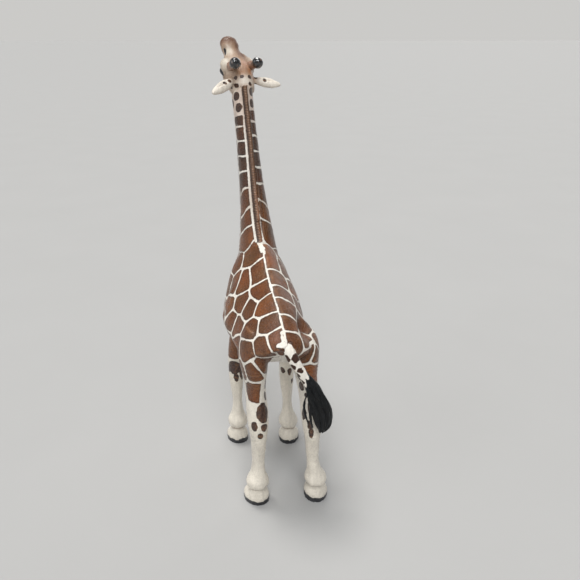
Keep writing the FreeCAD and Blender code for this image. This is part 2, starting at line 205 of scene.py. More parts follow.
def largest_island(mesh):
    """The mesh without any small stray surface inside it."""
    bm = bmesh.new()
    bm.from_mesh(mesh)
    bm.verts.ensure_lookup_table()
    unseen = set(range(len(bm.verts)))
    best = []
    while len(unseen) > len(best):
        start = unseen.pop()
        island, front = [start], [bm.verts[start]]
        while front:
            vert = front.pop()
            for edge in vert.link_edges:
                other = edge.other_vert(vert)
                if other.index in unseen:
                    unseen.discard(other.index)
                    island.append(other.index)
                    front.append(other)
        if len(island) > len(best):
            best = island
    keep = set(best)
    bmesh.ops.delete(bm, geom=[vert for vert in bm.verts if vert.index not in keep], context="VERTS")
    bm.to_mesh(mesh)
    bm.free()
    return mesh


class Skin:
    """A mesh whose points are handled together, in figure millimetres."""

    def __init__(self, mesh):
        self.mesh = mesh
        count = len(mesh.vertices)
        raw = np.empty(count * 3)
        mesh.vertices.foreach_get("co", raw)
        self.points = to_figure(raw.reshape(-1, 3))
        ends = np.empty(len(mesh.edges) * 2, int)
        mesh.edges.foreach_get("vertices", ends)
        self.first, self.second = ends[0::2], ends[1::2]
        self.degree = np.bincount(self.first, minlength=count) + np.bincount(self.second, minlength=count)

    def neighbour_mean(self, values):
        total = np.bincount(self.first, values[self.second], len(values))
        total += np.bincount(self.second, values[self.first], len(values))
        return total / np.maximum(self.degree, 1)

    def relax(self, rounds):
        """Smooths the points without shrinking the shape."""
        for share in (0.5, -0.53) * rounds:
            mean = np.stack([self.neighbour_mean(self.points[:, axis]) for axis in range(3)], 1)
            self.points = self.points + share * (mean - self.points)

    def normals(self):
        self.write_points()
        raw = np.empty(len(self.points) * 3)
        self.mesh.vertex_normals.foreach_get("vector", raw)
        return raw.reshape(-1, 3)

    def write_points(self):
        """Puts the points into the mesh, held inside the CAD model's box."""
        self.points = np.clip(self.points, *to_figure(CAD_BOX))
        self.mesh.vertices.foreach_set("co", to_scene(self.points).ravel())
        self.mesh.update()

    def push(self, distance):
        """Moves each point along its normal."""
        self.points = self.points + self.normals() * distance[:, None]

    def hollow(self, rounds=3):
        """How far each point lies under its surroundings: above 0, painted shade darkens the pale ground
        there, and below 0, a painted highlight lightens the coat.
        """
        mean = self.points
        for _ in range(rounds):
            mean = np.stack([self.neighbour_mean(mean[:, axis]) for axis in range(3)], 1)
        return ((mean - self.points) * self.normals()).sum(1)

    def store(self, name, values):
        attribute = self.mesh.attributes.new(name, "FLOAT", "POINT")
        attribute.data.foreach_set("value", np.asarray(values, np.float32))

    def store_colour(self, name, values):
        rgba = np.ones((len(values), 4), np.float32)
        rgba[:, :3] = values
        attribute = self.mesh.attributes.new(name, "FLOAT_COLOR", "POINT")
        attribute.data.foreach_set("color", rgba.ravel())


# ---- places on the figure

def head_axes():
    """Unit vectors along the head to the muzzle, to the head's left, and out through the crown."""
    along = np.array((math.sin(HEAD_YAW) * math.cos(HEAD_PITCH), -math.cos(HEAD_YAW) * math.cos(HEAD_PITCH),
                      math.sin(HEAD_PITCH)))
    left = np.array((math.cos(HEAD_YAW), math.sin(HEAD_YAW), 0.0))
    return along, left, np.cross(along, left)


def head_places(points):
    """Each point as (distance along the head, to its left, crown-ward)."""
    gap = points - HEAD_BASE
    return np.stack([gap @ axis for axis in head_axes()], 1)


NECK_UP = unit((0.034, -0.306, 0.951))
NECK_BACK = unit((0.0, 0.951, 0.306))


def neck_places(points):
    """Each point's distance up the neck from its seam, sideways and backwards, and angle from its back."""
    gap = points - NECK_SEAM
    height = gap @ NECK_UP
    sideways, backwards = gap[:, 0] - height * NECK_UP[0], gap @ NECK_BACK
    middles, centre, half_depth, half_width = [], [], [], []
    for low in np.arange(-2.0, 66.0, 4.0):
        near = (height > low) & (height < low + 4.0) & (np.abs(sideways) < 14.0) & (np.abs(backwards) < 15.0)
        if near.sum() > 30:
            front_end, back_end = np.quantile(backwards[near], (0.01, 0.99))
            right_end, left_end = np.quantile(sideways[near], (0.01, 0.99))
            middles.append(low + 2.0)
            centre.append((back_end + front_end) / 2)
            half_depth.append((back_end - front_end) / 2)
            half_width.append((left_end - right_end) / 2)
    depth = np.interp(height, middles, half_depth)
    width = np.interp(height, middles, half_width)
    backwards = backwards - np.interp(height, middles, centre)
    return height, sideways, backwards, np.arctan2(sideways / width, backwards / depth)


TUFT_PITCH = 1.05  # distance between the mane's combed tufts
MANE_START = 0.5  # how far to the left of the middle the mane ends at the withers
MANE_DRIFT = 1.35  # how far its top has drifted to the right from there


def mane_offset(height, sideways):
    """Sideways distance from the crest of the mane, positive to the left of it."""
    return sideways - MANE_START + MANE_DRIFT * ramp(height, 6.0, 48.0)


def cad_axis(node, start_near):
    """A CAD node's long axis, from its end nearest to a point: (start, unit direction, length)."""
    points = to_figure([vertex.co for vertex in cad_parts[node].data.vertices])
    middle = points.mean(0)
    direction = np.linalg.svd(points - middle, full_matrices=False)[2][0]
    if np.dot(direction, middle - start_near) < 0:
        direction = -direction
    reach = (points - middle) @ direction
    return middle + direction * reach.min(), direction, reach.max() - reach.min()


# ---- moulded relief

# Muscles and hollows: (name, centre, radii, height), each on both sides
BODY_FORMS = (
    ("point of hip", (9.5, 15.0, 80.0), (4.0, 4.5, 4.0), 0.15),
    ("loin dip", (7.5, 7.0, 85.0), (5.0, 4.5, 4.0), -0.35),
    ("pin bone", (5.0, 28.5, 76.0), (2.6, 2.6, 3.0), 0.40),
    ("flank hollow", (14.5, 3.5, 77.0), (5.0, 4.5, 7.0), -0.75),
    ("thigh muscle", (13.5, 15.0, 67.0), (5.0, 6.5, 7.5), 0.55),
    ("stifle", (13.0, 7.0, 61.5), (4.0, 3.0, 4.0), 0.45),
    ("buttock groove", (9.5, 25.5, 64.0), (2.2, 3.0, 6.0), -0.30),
    ("shoulder blade", (11.0, -21.5, 86.0), (5.0, 4.5, 8.0), 0.60),
    ("groove behind the shoulder", (14.5, -13.5, 76.0), (4.0, 2.4, 9.0), -0.55),
    ("point of shoulder", (9.5, -33.0, 78.0), (4.0, 3.5, 4.5), 0.60),
    ("upper arm", (12.0, -22.0, 66.0), (4.0, 5.0, 6.0), 0.50),
    ("elbow", (11.5, -16.5, 61.0), (3.0, 2.4, 3.0), 0.50),
    ("breast groove", (0.0, -38.0, 80.0), (1.6, 4.0, 8.0), -0.20),
    ("breastbone", (0.0, -22.0, 60.0), (3.4, 9.0, 4.0), 1.3),
)
CROTCH = ((2.6, 29.0, 69.5), (4.2, 8.0, 4.0), 3.4)  # raised between the thighs
RIGHT_HIP = ((-12.0, 19.5, 77.0), (5.5, 7.0, 4.8), -4.4)  # the figure leans on its left hind leg
WITHERS = ((0.0, -12.0, 98.0), (5.5, 8.0, 4.0), 0.7)


def relief_of_body(points):
    rise = mound(points, *WITHERS) + mound(points, *RIGHT_HIP)
    for _, centre, radii, height in BODY_FORMS:
        for side in (1, -1):
            rise += mound(points, np.array(centre) * (side, 1, 1), radii, height / (1 if centre[0] else 2))
    ribs = np.sin(points[:, 1] * (2 * math.pi / 4.6) + points[:, 2] * 0.12)
    on_ribs = ramp(points[:, 1], -14, -8) * ramp(-points[:, 1], -6, 0) * ramp(np.abs(points[:, 0]), 9, 13)
    on_ribs = on_ribs * ramp(points[:, 2], 62, 68) * fall(points[:, 2], 82, 88)
    return rise + 0.07 * ribs * on_ribs


def skin_folds(points):
    """Fine wrinkles of loose skin, closest together at the joints."""
    height = points[:, 2]
    folds = np.sin(height * (2 * math.pi / 1.9) + 2.6 * wander(points, 7.0, 11))
    at_joint = bell(height, 59, 4.0) + bell(height, 34, 2.4)
    at_joint += 0.9 * bell(points[:, 1], -31, 6.0) * ramp(height, 84, 92) * fall(height, 100, 112)
    fine = 0.028 * wander(points * (1.0, 0.6, 0.8), 1.7, 5) + 0.03 * wander(points, 3.4, 6)
    return 0.07 * folds * np.minimum(at_joint, 1.0) + fine


def mane_tufts(height):
    """From 0 between the mane's tufts to 1 at their tips."""
    return np.sin(height * (2 * math.pi / (2 * TUFT_PITCH))) ** 2


def relief_of_mane(points):
    """Upright tufts along the crest, with a groove on each side of it."""
    height, sideways, backwards, _ = neck_places(points)
    offset = mane_offset(height, sideways)
    here = ramp(backwards, 0.5, 2.0) * ramp(height, 2.0, 6.0) * fall(height, 64.0, 68.0)
    from_crest = np.abs(offset - 0.2)
    crest = (0.35 * mane_tufts(height) + 0.1) * bell(from_crest, 0.0, 0.45)
    strands = 0.10 * np.sin(height * (2 * math.pi / 0.95) + offset * 2.2) * bell(from_crest, 0.8, 0.5)
    grooves = -0.28 * bell(from_crest, 1.3, 0.3)
    low = 1 - ramp(height, 12.0, 30.0)
    combed = 0.10 * np.sin(offset * (2 * math.pi / 0.8)) * bell(offset, -2.6, 1.2) * low
    return here * (crest + strands + grooves + combed)


TRUNK_MIDDLE = 70.0  # height of the middle of the trunk; it rises toward the chest
TRUNK_RISE = 0.3


def trunk_angle(points):
    """Degrees round the trunk from the spine, positive to the left."""
    middle = TRUNK_MIDDLE + TRUNK_RISE * np.maximum(-5.0 - points[:, 1], 0.0)
    return np.degrees(np.arctan2(points[:, 0], points[:, 2] - middle))


def leg_places(points, leg):
    """Each point's angle round a leg, in degrees from its back toward its outer side, its distance from the
    leg's middle, and whether it is on that leg.
    """
    out = 1 if "left" in leg else -1
    on_leg = (points[:, 0] * out > 0) & ((points[:, 1] > 2) == leg.startswith("hind")) & (points[:, 2] < 70)
    heights, middles = np.arange(2.0, 60.0, 3.0), []
    for height in heights:
        ring = points[on_leg & (np.abs(points[:, 2] - min(height, 54.0)) < 2.0)]
        middles.append((ring[:, :2].min(0) + ring[:, :2].max(0)) / 2)
    middles = np.array(middles)
    gap_x = (points[:, 0] - np.interp(points[:, 2], heights, middles[:, 0])) * out
    gap_y = points[:, 1] - np.interp(points[:, 2], heights, middles[:, 1])
    return np.degrees(np.arctan2(gap_x, gap_y)), np.hypot(gap_x, gap_y), on_leg


def turn_between(angles, angle):
    """Smallest turn between angles in degrees."""
    return np.abs((angles - angle + 180) % 360 - 180)


# Hooves: (x, y, degrees of turn out), on the ground under each leg
HOOVES = {
    "hind_left_leg": (10.6, 18.8, 28.0),
    "hind_right_leg": (-13.8, 22.0, -12.0),
    "front_left_leg": (12.2, -23.4, 18.0),
    "front_right_leg": (-11.4, -17.8, -12.0),
}


def hoof_places(points, leg):
    """Each point as (to the hoof's side, behind the hoof's middle)."""
    x, y, turn = HOOVES[leg]
    turn = math.radians(turn)
    gap_x, gap_y = points[:, 0] - x, points[:, 1] - y
    return gap_x * math.cos(turn) + gap_y * math.sin(turn), gap_y * math.cos(turn) - gap_x * math.sin(turn)


def relief_of_hooves(points):
    """Ball-like fetlocks over narrow pasterns, clefts between the toes, the horn's edge and the dewclaws."""
    rise = np.zeros(len(points))
    height = points[:, 2]
    for leg in HOOVES:
        side, behind = hoof_places(points, leg)
        below = np.hypot(side, behind) < 10.0
        near = below * fall(height, 13.0, 16.0)
        front = ramp(-behind, 1.5, 4.0)
        rear = ramp(behind, 1.0, 3.4)
        cleft = -0.75 * bell(side, 0.0, 0.55) * front * fall(height, 4.0, 6.5)
        heel = -0.15 * bell(side, 0.0, 0.6) * rear * fall(height, 4.5, 7.0)
        horn_edge = -0.12 * bell(height - 0.16 * behind, 5.2, 0.4)
        pastern = -0.85 * bell(height - 0.10 * behind, 7.0, 1.1)
        fetlock = 0.75 * bell(height, 11.6, 2.9) - 0.35 * bell(height, 21.0, 4.0)
        claws = 0.25 * bell(np.abs(side), 1.7, 0.9) * bell(height, 9.2, 1.1) * rear
        cord = 0.16 * bell(side, 0.0, 0.9) * rear * ramp(height, 11.0, 14.0)
        rise += near * (cleft + heel + horn_edge + claws)
        rise += below * fall(height, 28.0, 34.0) * (pastern + fetlock)
        rise += (np.hypot(side, behind) < 9.0) * cord * fall(height, 26.0, 34.0)
    return rise


EYE = (12.0, -0.4)  # distance along the head and crown-ward
NOSTRIL = (20.7, 0.4)
MOUTH_LEVEL = -1.7


def eye_distance(place, side):
    """Distance from the middle of an eye, seen from that side of the head."""
    gap = np.hypot((place[:, 0] - EYE[0]) * 0.85, (place[:, 2] - EYE[1]) * 1.1)
    return np.where(place[:, 1] * side > 2.5, gap, 99.0)


def nostril_edge(place, side):
    """How far inside a nostril's slanting slit each point is."""
    along, across = place[:, 0] - NOSTRIL[0], place[:, 2] - NOSTRIL[1]
    slit = np.hypot((along + 0.3 * across) / 1.7, (across - 0.3 * along) / 0.75)
    return np.where(place[:, 1] * side > 1.0, (1 - slit) * 0.75, -9.0)


def above_mouth(place):
    """How far above the line of the mouth each point of the muzzle is."""
    return place[:, 2] - MOUTH_LEVEL - 0.03 * (place[:, 0] - 22)


# Forms of the head, as for the body but in the head's own axes
HEAD_FORMS = (
    ("eye socket", (12.0, 5.0, -1.0), (4.0, 3.0, 3.2), 0.9),
    ("brow", (15.5, 5.0, 1.5), (3.0, 2.6, 2.6), 0.7),
    ("upper eyelid", (12.0, 5.0, 1.0), (2.6, 1.6, 0.9), 0.45),
    ("ridge before the eye", (15.5, 4.3, 1.6), (1.8, 1.8, 1.4), 0.25),
    ("cheek", (8.0, 4.6, -3.6), (3.2, 2.2, 2.6), 0.45),
    ("hollow behind the nostril", (18.6, 3.4, 0.6), (2.2, 1.5, 1.6), -0.35),
)
MIDDLE_FORMS = (
    ("forehead", (12.0, 0.0, 6.0), (3.4, 2.6, 2.0), 0.35),
    ("chin", (26.5, 0.0, -2.4), (1.6, 2.0, 1.4), 0.25),
    ("swelling on the right of the nose", (17.2, -3.4, 2.0), (2.6, 2.2, 2.0), 0.8),
)


def relief_of_head(points):
    """Brows, eyeballs in their lids, cheeks, nostrils and the line of the mouth."""
    rise = np.zeros(len(points))
    place = head_places(points)
    for side in (1, -1):
        for _, centre, radii, height in HEAD_FORMS:
            rise += mound(place, np.array(centre) * (1, side, 1), radii, height)
        eye = eye_distance(place, side)
        rise += 0.60 * np.exp(-(eye / 1.25) ** 4) - 0.30 * bell(eye, 1.85, 0.42)
        slit = nostril_edge(place, side)
        rise += 0.22 * bell(slit, -0.5, 0.45) - 0.5 * ramp(slit, -0.1, 0.5)
    for _, centre, radii, height in MIDDLE_FORMS:
        rise += mound(place, centre, radii, height)
    rise += -0.42 * bell(above_mouth(place), 0.0, 0.3) * ramp(place[:, 0], 16.5, 18.0)
    rise += 0.45 * ramp(place[:, 0], 20.0, 24.0) * fall(place[:, 0], 25.5, 28.0)
    return rise * ramp(place[:, 0], -1.0, 1.5)


def ear_lines():
    """Each ear's root, way out and length."""
    return [cad_axis(node, HEAD_BASE) for node in ("left_ear", "right_ear")]


def ear_share(points, line):
    """How far out along an ear each point is, from 0 to 1, and how far off its middle line."""
    start, direction, length = line
    gap = points - start
    share = (gap @ direction) / length
    return share, np.linalg.norm(gap - (gap @ direction)[:, None] * direction, axis=1)


def by_ear(points, off):
    """Whether each point is on the head's level and close enough to an ear's middle line to be part of it."""
    return (off < EAR_REGION) & (points[:, 2] > HEAD_LEVEL)


def on_ears(points):
    found = np.zeros(len(points), bool)
    for line in ear_lines():
        share, off = ear_share(points, line)
        found |= (share > 0.25) & (off < 6.0) & (points[:, 2] > HEAD_LEVEL)
    return found


def relief_of_ears(points):
    """The cupped hollow on the side of each ear that faces the muzzle, and fuller tips."""
    rise = np.zeros(len(points))
    along = head_axes()[0]
    for line in ear_lines():
        share, off = ear_share(points, line)
        start, direction, _ = line
        facing = (points - start) @ unit(along - direction * (along @ direction))
        cupped = ramp(facing, 0.0, 0.6) * ramp(share, 0.35, 0.5) * fall(share, 0.75, 0.9)
        cupped = 0.5 * cupped * np.exp(-(off / 1.6) ** 4)
        rise += by_ear(points, off) * (0.25 * ramp(share, 0.6, 0.8) - cupped)
    return rise


def stretch_ears(points):
    """Draws out the ears' tips, which the skin's faces round off."""
    for line, reach in zip(ear_lines(), EAR_REACH):
        share, off = ear_share(points, line)
        points = points + (by_ear(points, off) * reach * ramp(share, 0.45, 1.0))[:, None] * line[1]
    return points


def sculpt(skin):
    """Turns the plain CAD skin into the moulded animal."""
    skin.relax(4)
    skin.push(relief_of_body(skin.points))
    skin.push(relief_of_head(skin.points))
    skin.push(relief_of_ears(skin.points))
    skin.points = stretch_ears(skin.points)
    skin.push(relief_of_hooves(skin.points))
    skin.points[:, 2] += mound(skin.points, *CROTCH)
    skin.relax(1)
    skin.push(relief_of_mane(skin.points))
    skin.push(skin_folds(skin.points) * ramp(skin.points[:, 2], 5.0, 12.0))
    skin.write_points()


# ---- painted coat

# Middles of the coat's patches on each side of the trunk: (distance back, degrees round from the spine)
TRUNK_PATCHES = {
    "left": (
        (-14, 12), (-1.5, 11), (6.2, 17), (14.7, 18), (22, 28), (28.5, 27),
        (-20.5, 34), (-4.8, 33), (2.2, 48), (8.3, 42), (18, 58), (27, 62), (21.4, 88),
        (-10, 47), (-19, 66), (-6, 68), (8, 73), (1.4, 80), (13, 98),
        (-11, 92), (3, 106), (-6, 120), (10, 122), (-26, 84), (-19, 104), (-28, 116), (-18, 134), (-26, 140),
        (-30, 58), (-33, 30), (-38, 148), (-26, 162),
    ),
    "right": (
        (-6.5, 5), (-8.5, 25), (3.5, 9), (9.4, 12), (16.8, 14.5), (24, 16), (29, 20),
        (23.6, 62), (-1.5, 38), (6, 50), (14, 62), (-19, 34),
        (-9, 58), (1.5, 74), (10, 86), (18, 96), (-8, 99), (1.5, 108), (10, 120),
        (-27, 74), (-18, 84), (-28, 117), (-18, 130), (-26, 142), (-33, 57), (-34, 26), (-38, 98), (-26, 162),
    ),
}
SPINE_BOW = 1.3  # how far the pale line along the spine bows to the left
# Columns of patches up the neck: the angle of each round it from its back, and its rows' shift up
NECK_COLUMNS = ((58, 0.0), (122, 3.0), (180, 0.6), (-122, 3.2), (-60, 1.4))
NECK_ROWS = 10
NECK_SPOT_ROW = 8  # this row and those above it are round spots in columns of their own
NECK_SPOT_RADIUS = 1.75
NECK_SPOTS_TOP = 63.5
NECK_SPOT_COLUMNS = ((42, 0.0), (112, 2.4), (180, 0.6), (-112, 2.4), (-50, 1.4))

# Patches at the top of each leg: (height, degrees round from its back toward its outer side)
LEG_PATCHES = {
    "hind_left_leg": ((53.6, 15), (54, 110), (62.8, 12), (65.4, -17), (60, 80)),
    "hind_right_leg": ((54, 120), (60.5, 5), (68.2, -10), (66.2, 24), (61, 75)),
    "front_left_leg": ((50, 60), (52, 170), (52, -70)),
    "front_right_leg": ((53, 90), (52, -170)),
}
# Where the coat ends on each leg: (lowest height, angle of the last patch's middle, half its width there, and
# for each millimetre up, how many degrees its middle turns and how much each side of it widens)
COAT_ENDS = {
    "hind_left_leg": (49.4, 16, 2.2, 0.6, 0.25),
    "hind_right_leg": (53.0, 60, 5.0, -3.5, 0.45),
    "front_left_leg": (44.8, 60, 6.0, 0.0, 0.45),
    "front_right_leg": (46.0, 100, 5.0, 0.0, 0.45),
}
COAT_END_TOP = 63.0  # the coat's ends shape it only below this
# Separate painted spots on each leg: (height, degrees round, half the width, half the height)
LEG_SPOTS = {
    "hind_left_leg": (
        (45.3, -14, 2.6, 4.0), (40.6, 26, 1.3, 2.1), (39.8, -18, 1.5, 1.6), (36.6, 2, 1.05, 1.6),
        (55.4, -34, 1.1, 2.4), (50.6, -32, 0.9, 2.0), (61.5, -42, 0.9, 2.6), (58.5, -80, 1.4, 2.0),
        (47, 110, 1.3, 2.2), (41, 155, 0.9, 1.5), (52.5, -110, 1.2, 2.0), (46, -100, 1.0, 1.7),
    ),
    "hind_right_leg": (
        (53.4, -32, 1.3, 1.9), (50.6, -22, 0.7, 0.9), (43.6, -52, 1.0, 2.5), (40.4, -24, 0.9, 2.0),
        (36.8, -18, 1.0, 2.4), (46.6, -12, 1.3, 2.2), (57.0, -40, 1.1, 1.2), (60.5, -44, 1.3, 1.4),
        (47.5, 110, 1.4, 2.4), (41.5, 150, 1.1, 1.6), (48.5, 30, 1.0, 2.0), (56.5, 5, 1.5, 2.2),
    ),
    "front_left_leg": (
        (40.0, 20, 3.0, 3.6), (35.0, 6, 1.3, 2.2), (37.0, -42, 1.6, 3.8), (38.5, 75, 1.1, 1.8),
        (39.5, 150, 1.3, 2.2), (34.5, 120, 0.9, 1.3), (40.5, -120, 1.1, 2.2),
    ),
    "front_right_leg": (
        (38.8, -42, 1.3, 1.6), (38.4, 12, 1.0, 1.9), (41.5, 70, 1.2, 2.2), (41.0, 165, 1.2, 1.9),
        (36.0, 110, 0.9, 1.5), (42.0, -110, 1.2, 2.0), (32.4, 35, 0.7, 1.2),
    ),
}
# Spots across the back of the head, from the left ear to the right, and behind them
HEAD_SPOTS = (
    (9.6, -41.6, 158.6), (7.2, -43.2, 159.3), (4.6, -44.4, 160.4), (1.9, -43.8, 160.9), (-1.2, -44.4, 160.8),
    (-4.7, -48.3, 160.3), (-8.2, -47.0, 159.8), (4.8, -43.8, 157.6), (3.8, -43.8, 157.5), (6.0, -46.4, 156.6),
    (-1.1, -42.9, 158.3), (-4.3, -48.2, 157.6),
)
HEAD_SPOT_RADIUS = 0.85
CREAM_MARKS = (
    ((0.9, -12.5, 98.4), (1.1, 5.4, 2.5)),  # blaze where the mane ends on the withers
    ((1.2, 30.6, 75.8), (2.4, 1.5, 1.1)),  # pale ground round the root of the tail
    ((1.2, 27.8, 78.2), (0.5, 2.4, 1.6)),
)
TAIL_ROOT_SPOT = ((2.5, 31.0, 73.6), (1.6, 1.6, 1.6))


def neck_point(skin, level, column):
    """The skin's point at a height up the neck and an angle round it from its back."""
    height, _, _, angle = neck_places(skin.points)
    gap = np.abs(height - level) + 6.0 * np.radians(turn_between(np.degrees(angle), column))
    return skin.points[np.argmin(gap)]


def neck_level(row, shift):
    """How far up the neck a row of patches is: the rows get closer toward the head."""
    return 7.5 + 7.2 * row - 0.105 * row * row - max(row - 7, 0) + shift


def neck_patch_middles(skin):
    return [neck_point(skin, neck_level(row, shift), column) for column, shift in NECK_COLUMNS
            for row in range(NECK_ROWS)]


def neck_spot_middles(skin):
    places = [(neck_level(row, shift), column) for column, shift in NECK_SPOT_COLUMNS
              for row in range(NECK_SPOT_ROW, NECK_ROWS)]
    return [neck_point(skin, level, column) for level, column in places if level < NECK_SPOTS_TOP]


def trunk_patch_middles(skin, side):
    points = skin.points
    angle = trunk_angle(points) * (1 if side == "left" else -1)
    middles = []
    for back, turn in TRUNK_PATCHES[side]:
        gap = np.abs(points[:, 1] - back) + 0.3 * np.abs(angle - turn) + 9.0 * (points[:, 2] < LEG_SEAM)
        middles.append(points[np.argmin(gap)])
    return middles


def leg_point(skin, leg, height, turn):
    """The skin's point at a height and angle round a leg."""
    angle, _, on_leg = leg_places(skin.points, leg)
    gap = np.abs(skin.points[:, 2] - height) + 0.1 * turn_between(angle, turn) + 99.0 * ~on_leg
    return skin.points[np.argmin(gap)]


def leg_patch_middles(skin, side):
    legs = [leg for leg in LEG_PATCHES if side in leg]
    return [leg_point(skin, leg, *place) for leg in legs for place in LEG_PATCHES[leg]]


def edge_inside_patches(points, centres, corner):
    """How far each point lies inside its own patch, and which patch that is. Corner rounds its corners."""
    gaps = np.stack([((points - centre) ** 2).sum(1) for centre in centres])
    owner = gaps.argmin(0)
    best = gaps.min(0)
    total = np.zeros(len(points))
    own = centres[owner]
    for k, centre in enumerate(centres):
        apart = np.linalg.norm(own - centre, axis=1)
        edge = (gaps[k] - best) / (2 * np.maximum(apart, 1e-6))
        total += np.where(owner == k, 0.0, np.exp(-edge / corner))
    return -corner * np.log(np.maximum(total, 1e-12)), owner


def slanted(points, height, angle):
    """Points moved so that the rows low on the neck slant down away from the mane."""
    slant = 3.4 * (1 - ramp(height, 12.0, 30.0)) * ramp(height, -6.0, 2.0)
    away = np.minimum(np.abs(angle), 2.2)
    return points + np.outer(slant * away, NECK_UP)


def spot_edge(points, centre, radii):
    gap = (points - np.asarray(centre)) / np.asarray(radii)
    return (1 - np.sqrt((gap * gap).sum(1))) * min(radii)


def spine_offset(points):
    """Sideways distance from the pale line along the spine, positive to its left."""
    bow = SPINE_BOW * bell(points[:, 1], 6.0, 20.0)
    return points[:, 0] - bow * (np.abs(trunk_angle(points)) < 90)


def end_of_coat(skin, edge):
    """Cuts the coat short on each leg, where its last patch narrows downward."""
    points = skin.points
    for leg, (lowest, middle, half, drift, spread) in COAT_ENDS.items():
        angle, radius, on_leg = leg_places(points, leg)
        above = points[:, 2] - lowest
        arc = np.radians(turn_between(angle, middle + drift * above)) * radius
        tongue = half + spread * above - arc
        limit = np.minimum(0.8 * above, tongue + 12.0 * ramp(points[:, 2], 58.0, COAT_END_TOP))
        edge = np.where(on_leg & (points[:, 2] < COAT_END_TOP), np.minimum(edge, limit), edge)
    return edge


def patch_edge(skin):
    """How far inside a patch of the coat each point is, and its patch's tone from 0 to 1."""
    points = skin.points
    height, _, _, angle = neck_places(points)
    shaken = slanted(points, height, angle)
    shaken = shaken + np.stack([0.30 * wander(points, 8.0, seed) for seed in (21, 22, 23)], 1)
    neck = neck_patch_middles(skin)
    offset = spine_offset(points)
    middles = {}
    for side in ("left", "right"):
        middles[side] = trunk_patch_middles(skin, side) + leg_patch_middles(skin, side)
    corner = 0.28 + 0.45 * ramp(height, 48.0, 58.0)
    random = np.random.default_rng(4)
    edge, owner = edge_inside_patches(shaken, np.array(neck + middles["left"] + middles["right"]), corner)
    tone = random.uniform(0, 1, 200)[owner]
    in_spots = (owner < len(neck)) & (owner % NECK_ROWS >= NECK_SPOT_ROW)
    on_back = (np.abs(trunk_angle(points)) < 90) & (points[:, 1] > -26.0)
    for side, sign in (("left", 1), ("right", -1)):
        side_edge, owner = edge_inside_patches(shaken, np.array(neck + middles[side]), corner)
        side_edge = np.minimum(side_edge, offset * sign + 0.05 + 8.0 * ramp(height, -1.0, 2.0))
        chosen = on_back & (offset * sign > 0)
        edge = np.where(chosen, side_edge, edge)
        tone = np.where(chosen, random.uniform(0, 1, 200)[owner], tone)
    return np.where(in_spots, -9.0, edge), tone


def coat_edge(skin):
    """How far inside brown paint each point is (below 0 on the pale ground), and each point's patch tone.

    The coat's patches, the separate spots and the mane come apart, as each has its own brown.
    """
    points = skin.points
    height, sideways, backwards, _ = neck_places(points)
    edge, tone = patch_edge(skin)
    z = points[:, 2]
    side = np.abs(points[:, 0])
    # The pale lines widen on the insides of the legs and toward the head
    line = HALF_LINE * (1 + 0.30 * wander(points, 5.0, 31))
    line += 0.8 * fall(z, 59.0, 64.0) * fall(side, 4.0, 10.0)
    line += 0.22 * ramp(height, 50.0, 60.0)
    edge = edge - line
    # There are no patches between the thighs
    crotch = (side - 5.0 - 0.10 * (66 - z)) + 9.0 * ((z > 69.0) | (points[:, 1] < 8) | (points[:, 1] > 27))
    edge = np.minimum(edge, crotch)
    edge = end_of_coat(skin, edge)

    # Along the neck's back run a cream band, the mane to its right, and a narrow line beyond that
    on_neck = ramp(height, 1.0, 3.0) * ramp(backwards, 0.0, 1.0) > 0.5
    offset = mane_offset(height, sideways)
    band = np.maximum(1.35 - offset, offset - 2.25 + 0.5 * ramp(height, 46.0, 60.0))
    beside_mane = np.abs(offset + 1.0) + 0.15 - 0.35 * fall(height, 10.0, 18.0)
    edge = np.where(on_neck, np.minimum.reduce([edge, band, beside_mane]), edge)
    mane = np.minimum.reduce([1.35 - offset, offset + 0.85, 0.6 * (65.5 - height)])
    mane = np.where(on_neck, mane, -9.0)
    for centre, radii in CREAM_MARKS:
        edge = np.minimum(edge, -spot_edge(points, centre, radii) + 0.3 * wander(points, 2.0, 35))

    # The coat stops at the head and the ears
    head = head_places(points)[:, 0] - 0.35 * head_places(points)[:, 2]
    edge = np.where((head > HEAD_SEAM - 1.5) | on_ears(points), -5.0, edge)
    return edge, spot_edges(skin), mane, tone


def spot_edges(skin):
    """How far inside a separate spot each point is."""
    points = skin.points
    wobble = 0.16 * wander(points, 2.4, 41)
    spots = spot_edge(points, *TAIL_ROOT_SPOT) + wobble
    for leg, places in LEG_SPOTS.items():
        for height, turn, half_width, half_height in places:
            centre = leg_point(skin, leg, height, turn)
            radii = (half_width, half_width * 1.3, half_height)
            spots = np.maximum(spots, spot_edge(points, centre, radii) + wobble)
    for centre in neck_spot_middles(skin):
        spots = np.maximum(spots, spot_edge(points, centre, (NECK_SPOT_RADIUS,) * 3) + wobble)
    for place in HEAD_SPOTS:
        centre = points[np.argmin(((points - place) ** 2).sum(1))]
        spots = np.maximum(spots, spot_edge(points, centre, (HEAD_SPOT_RADIUS,) * 3) + 0.5 * wobble)
    return spots


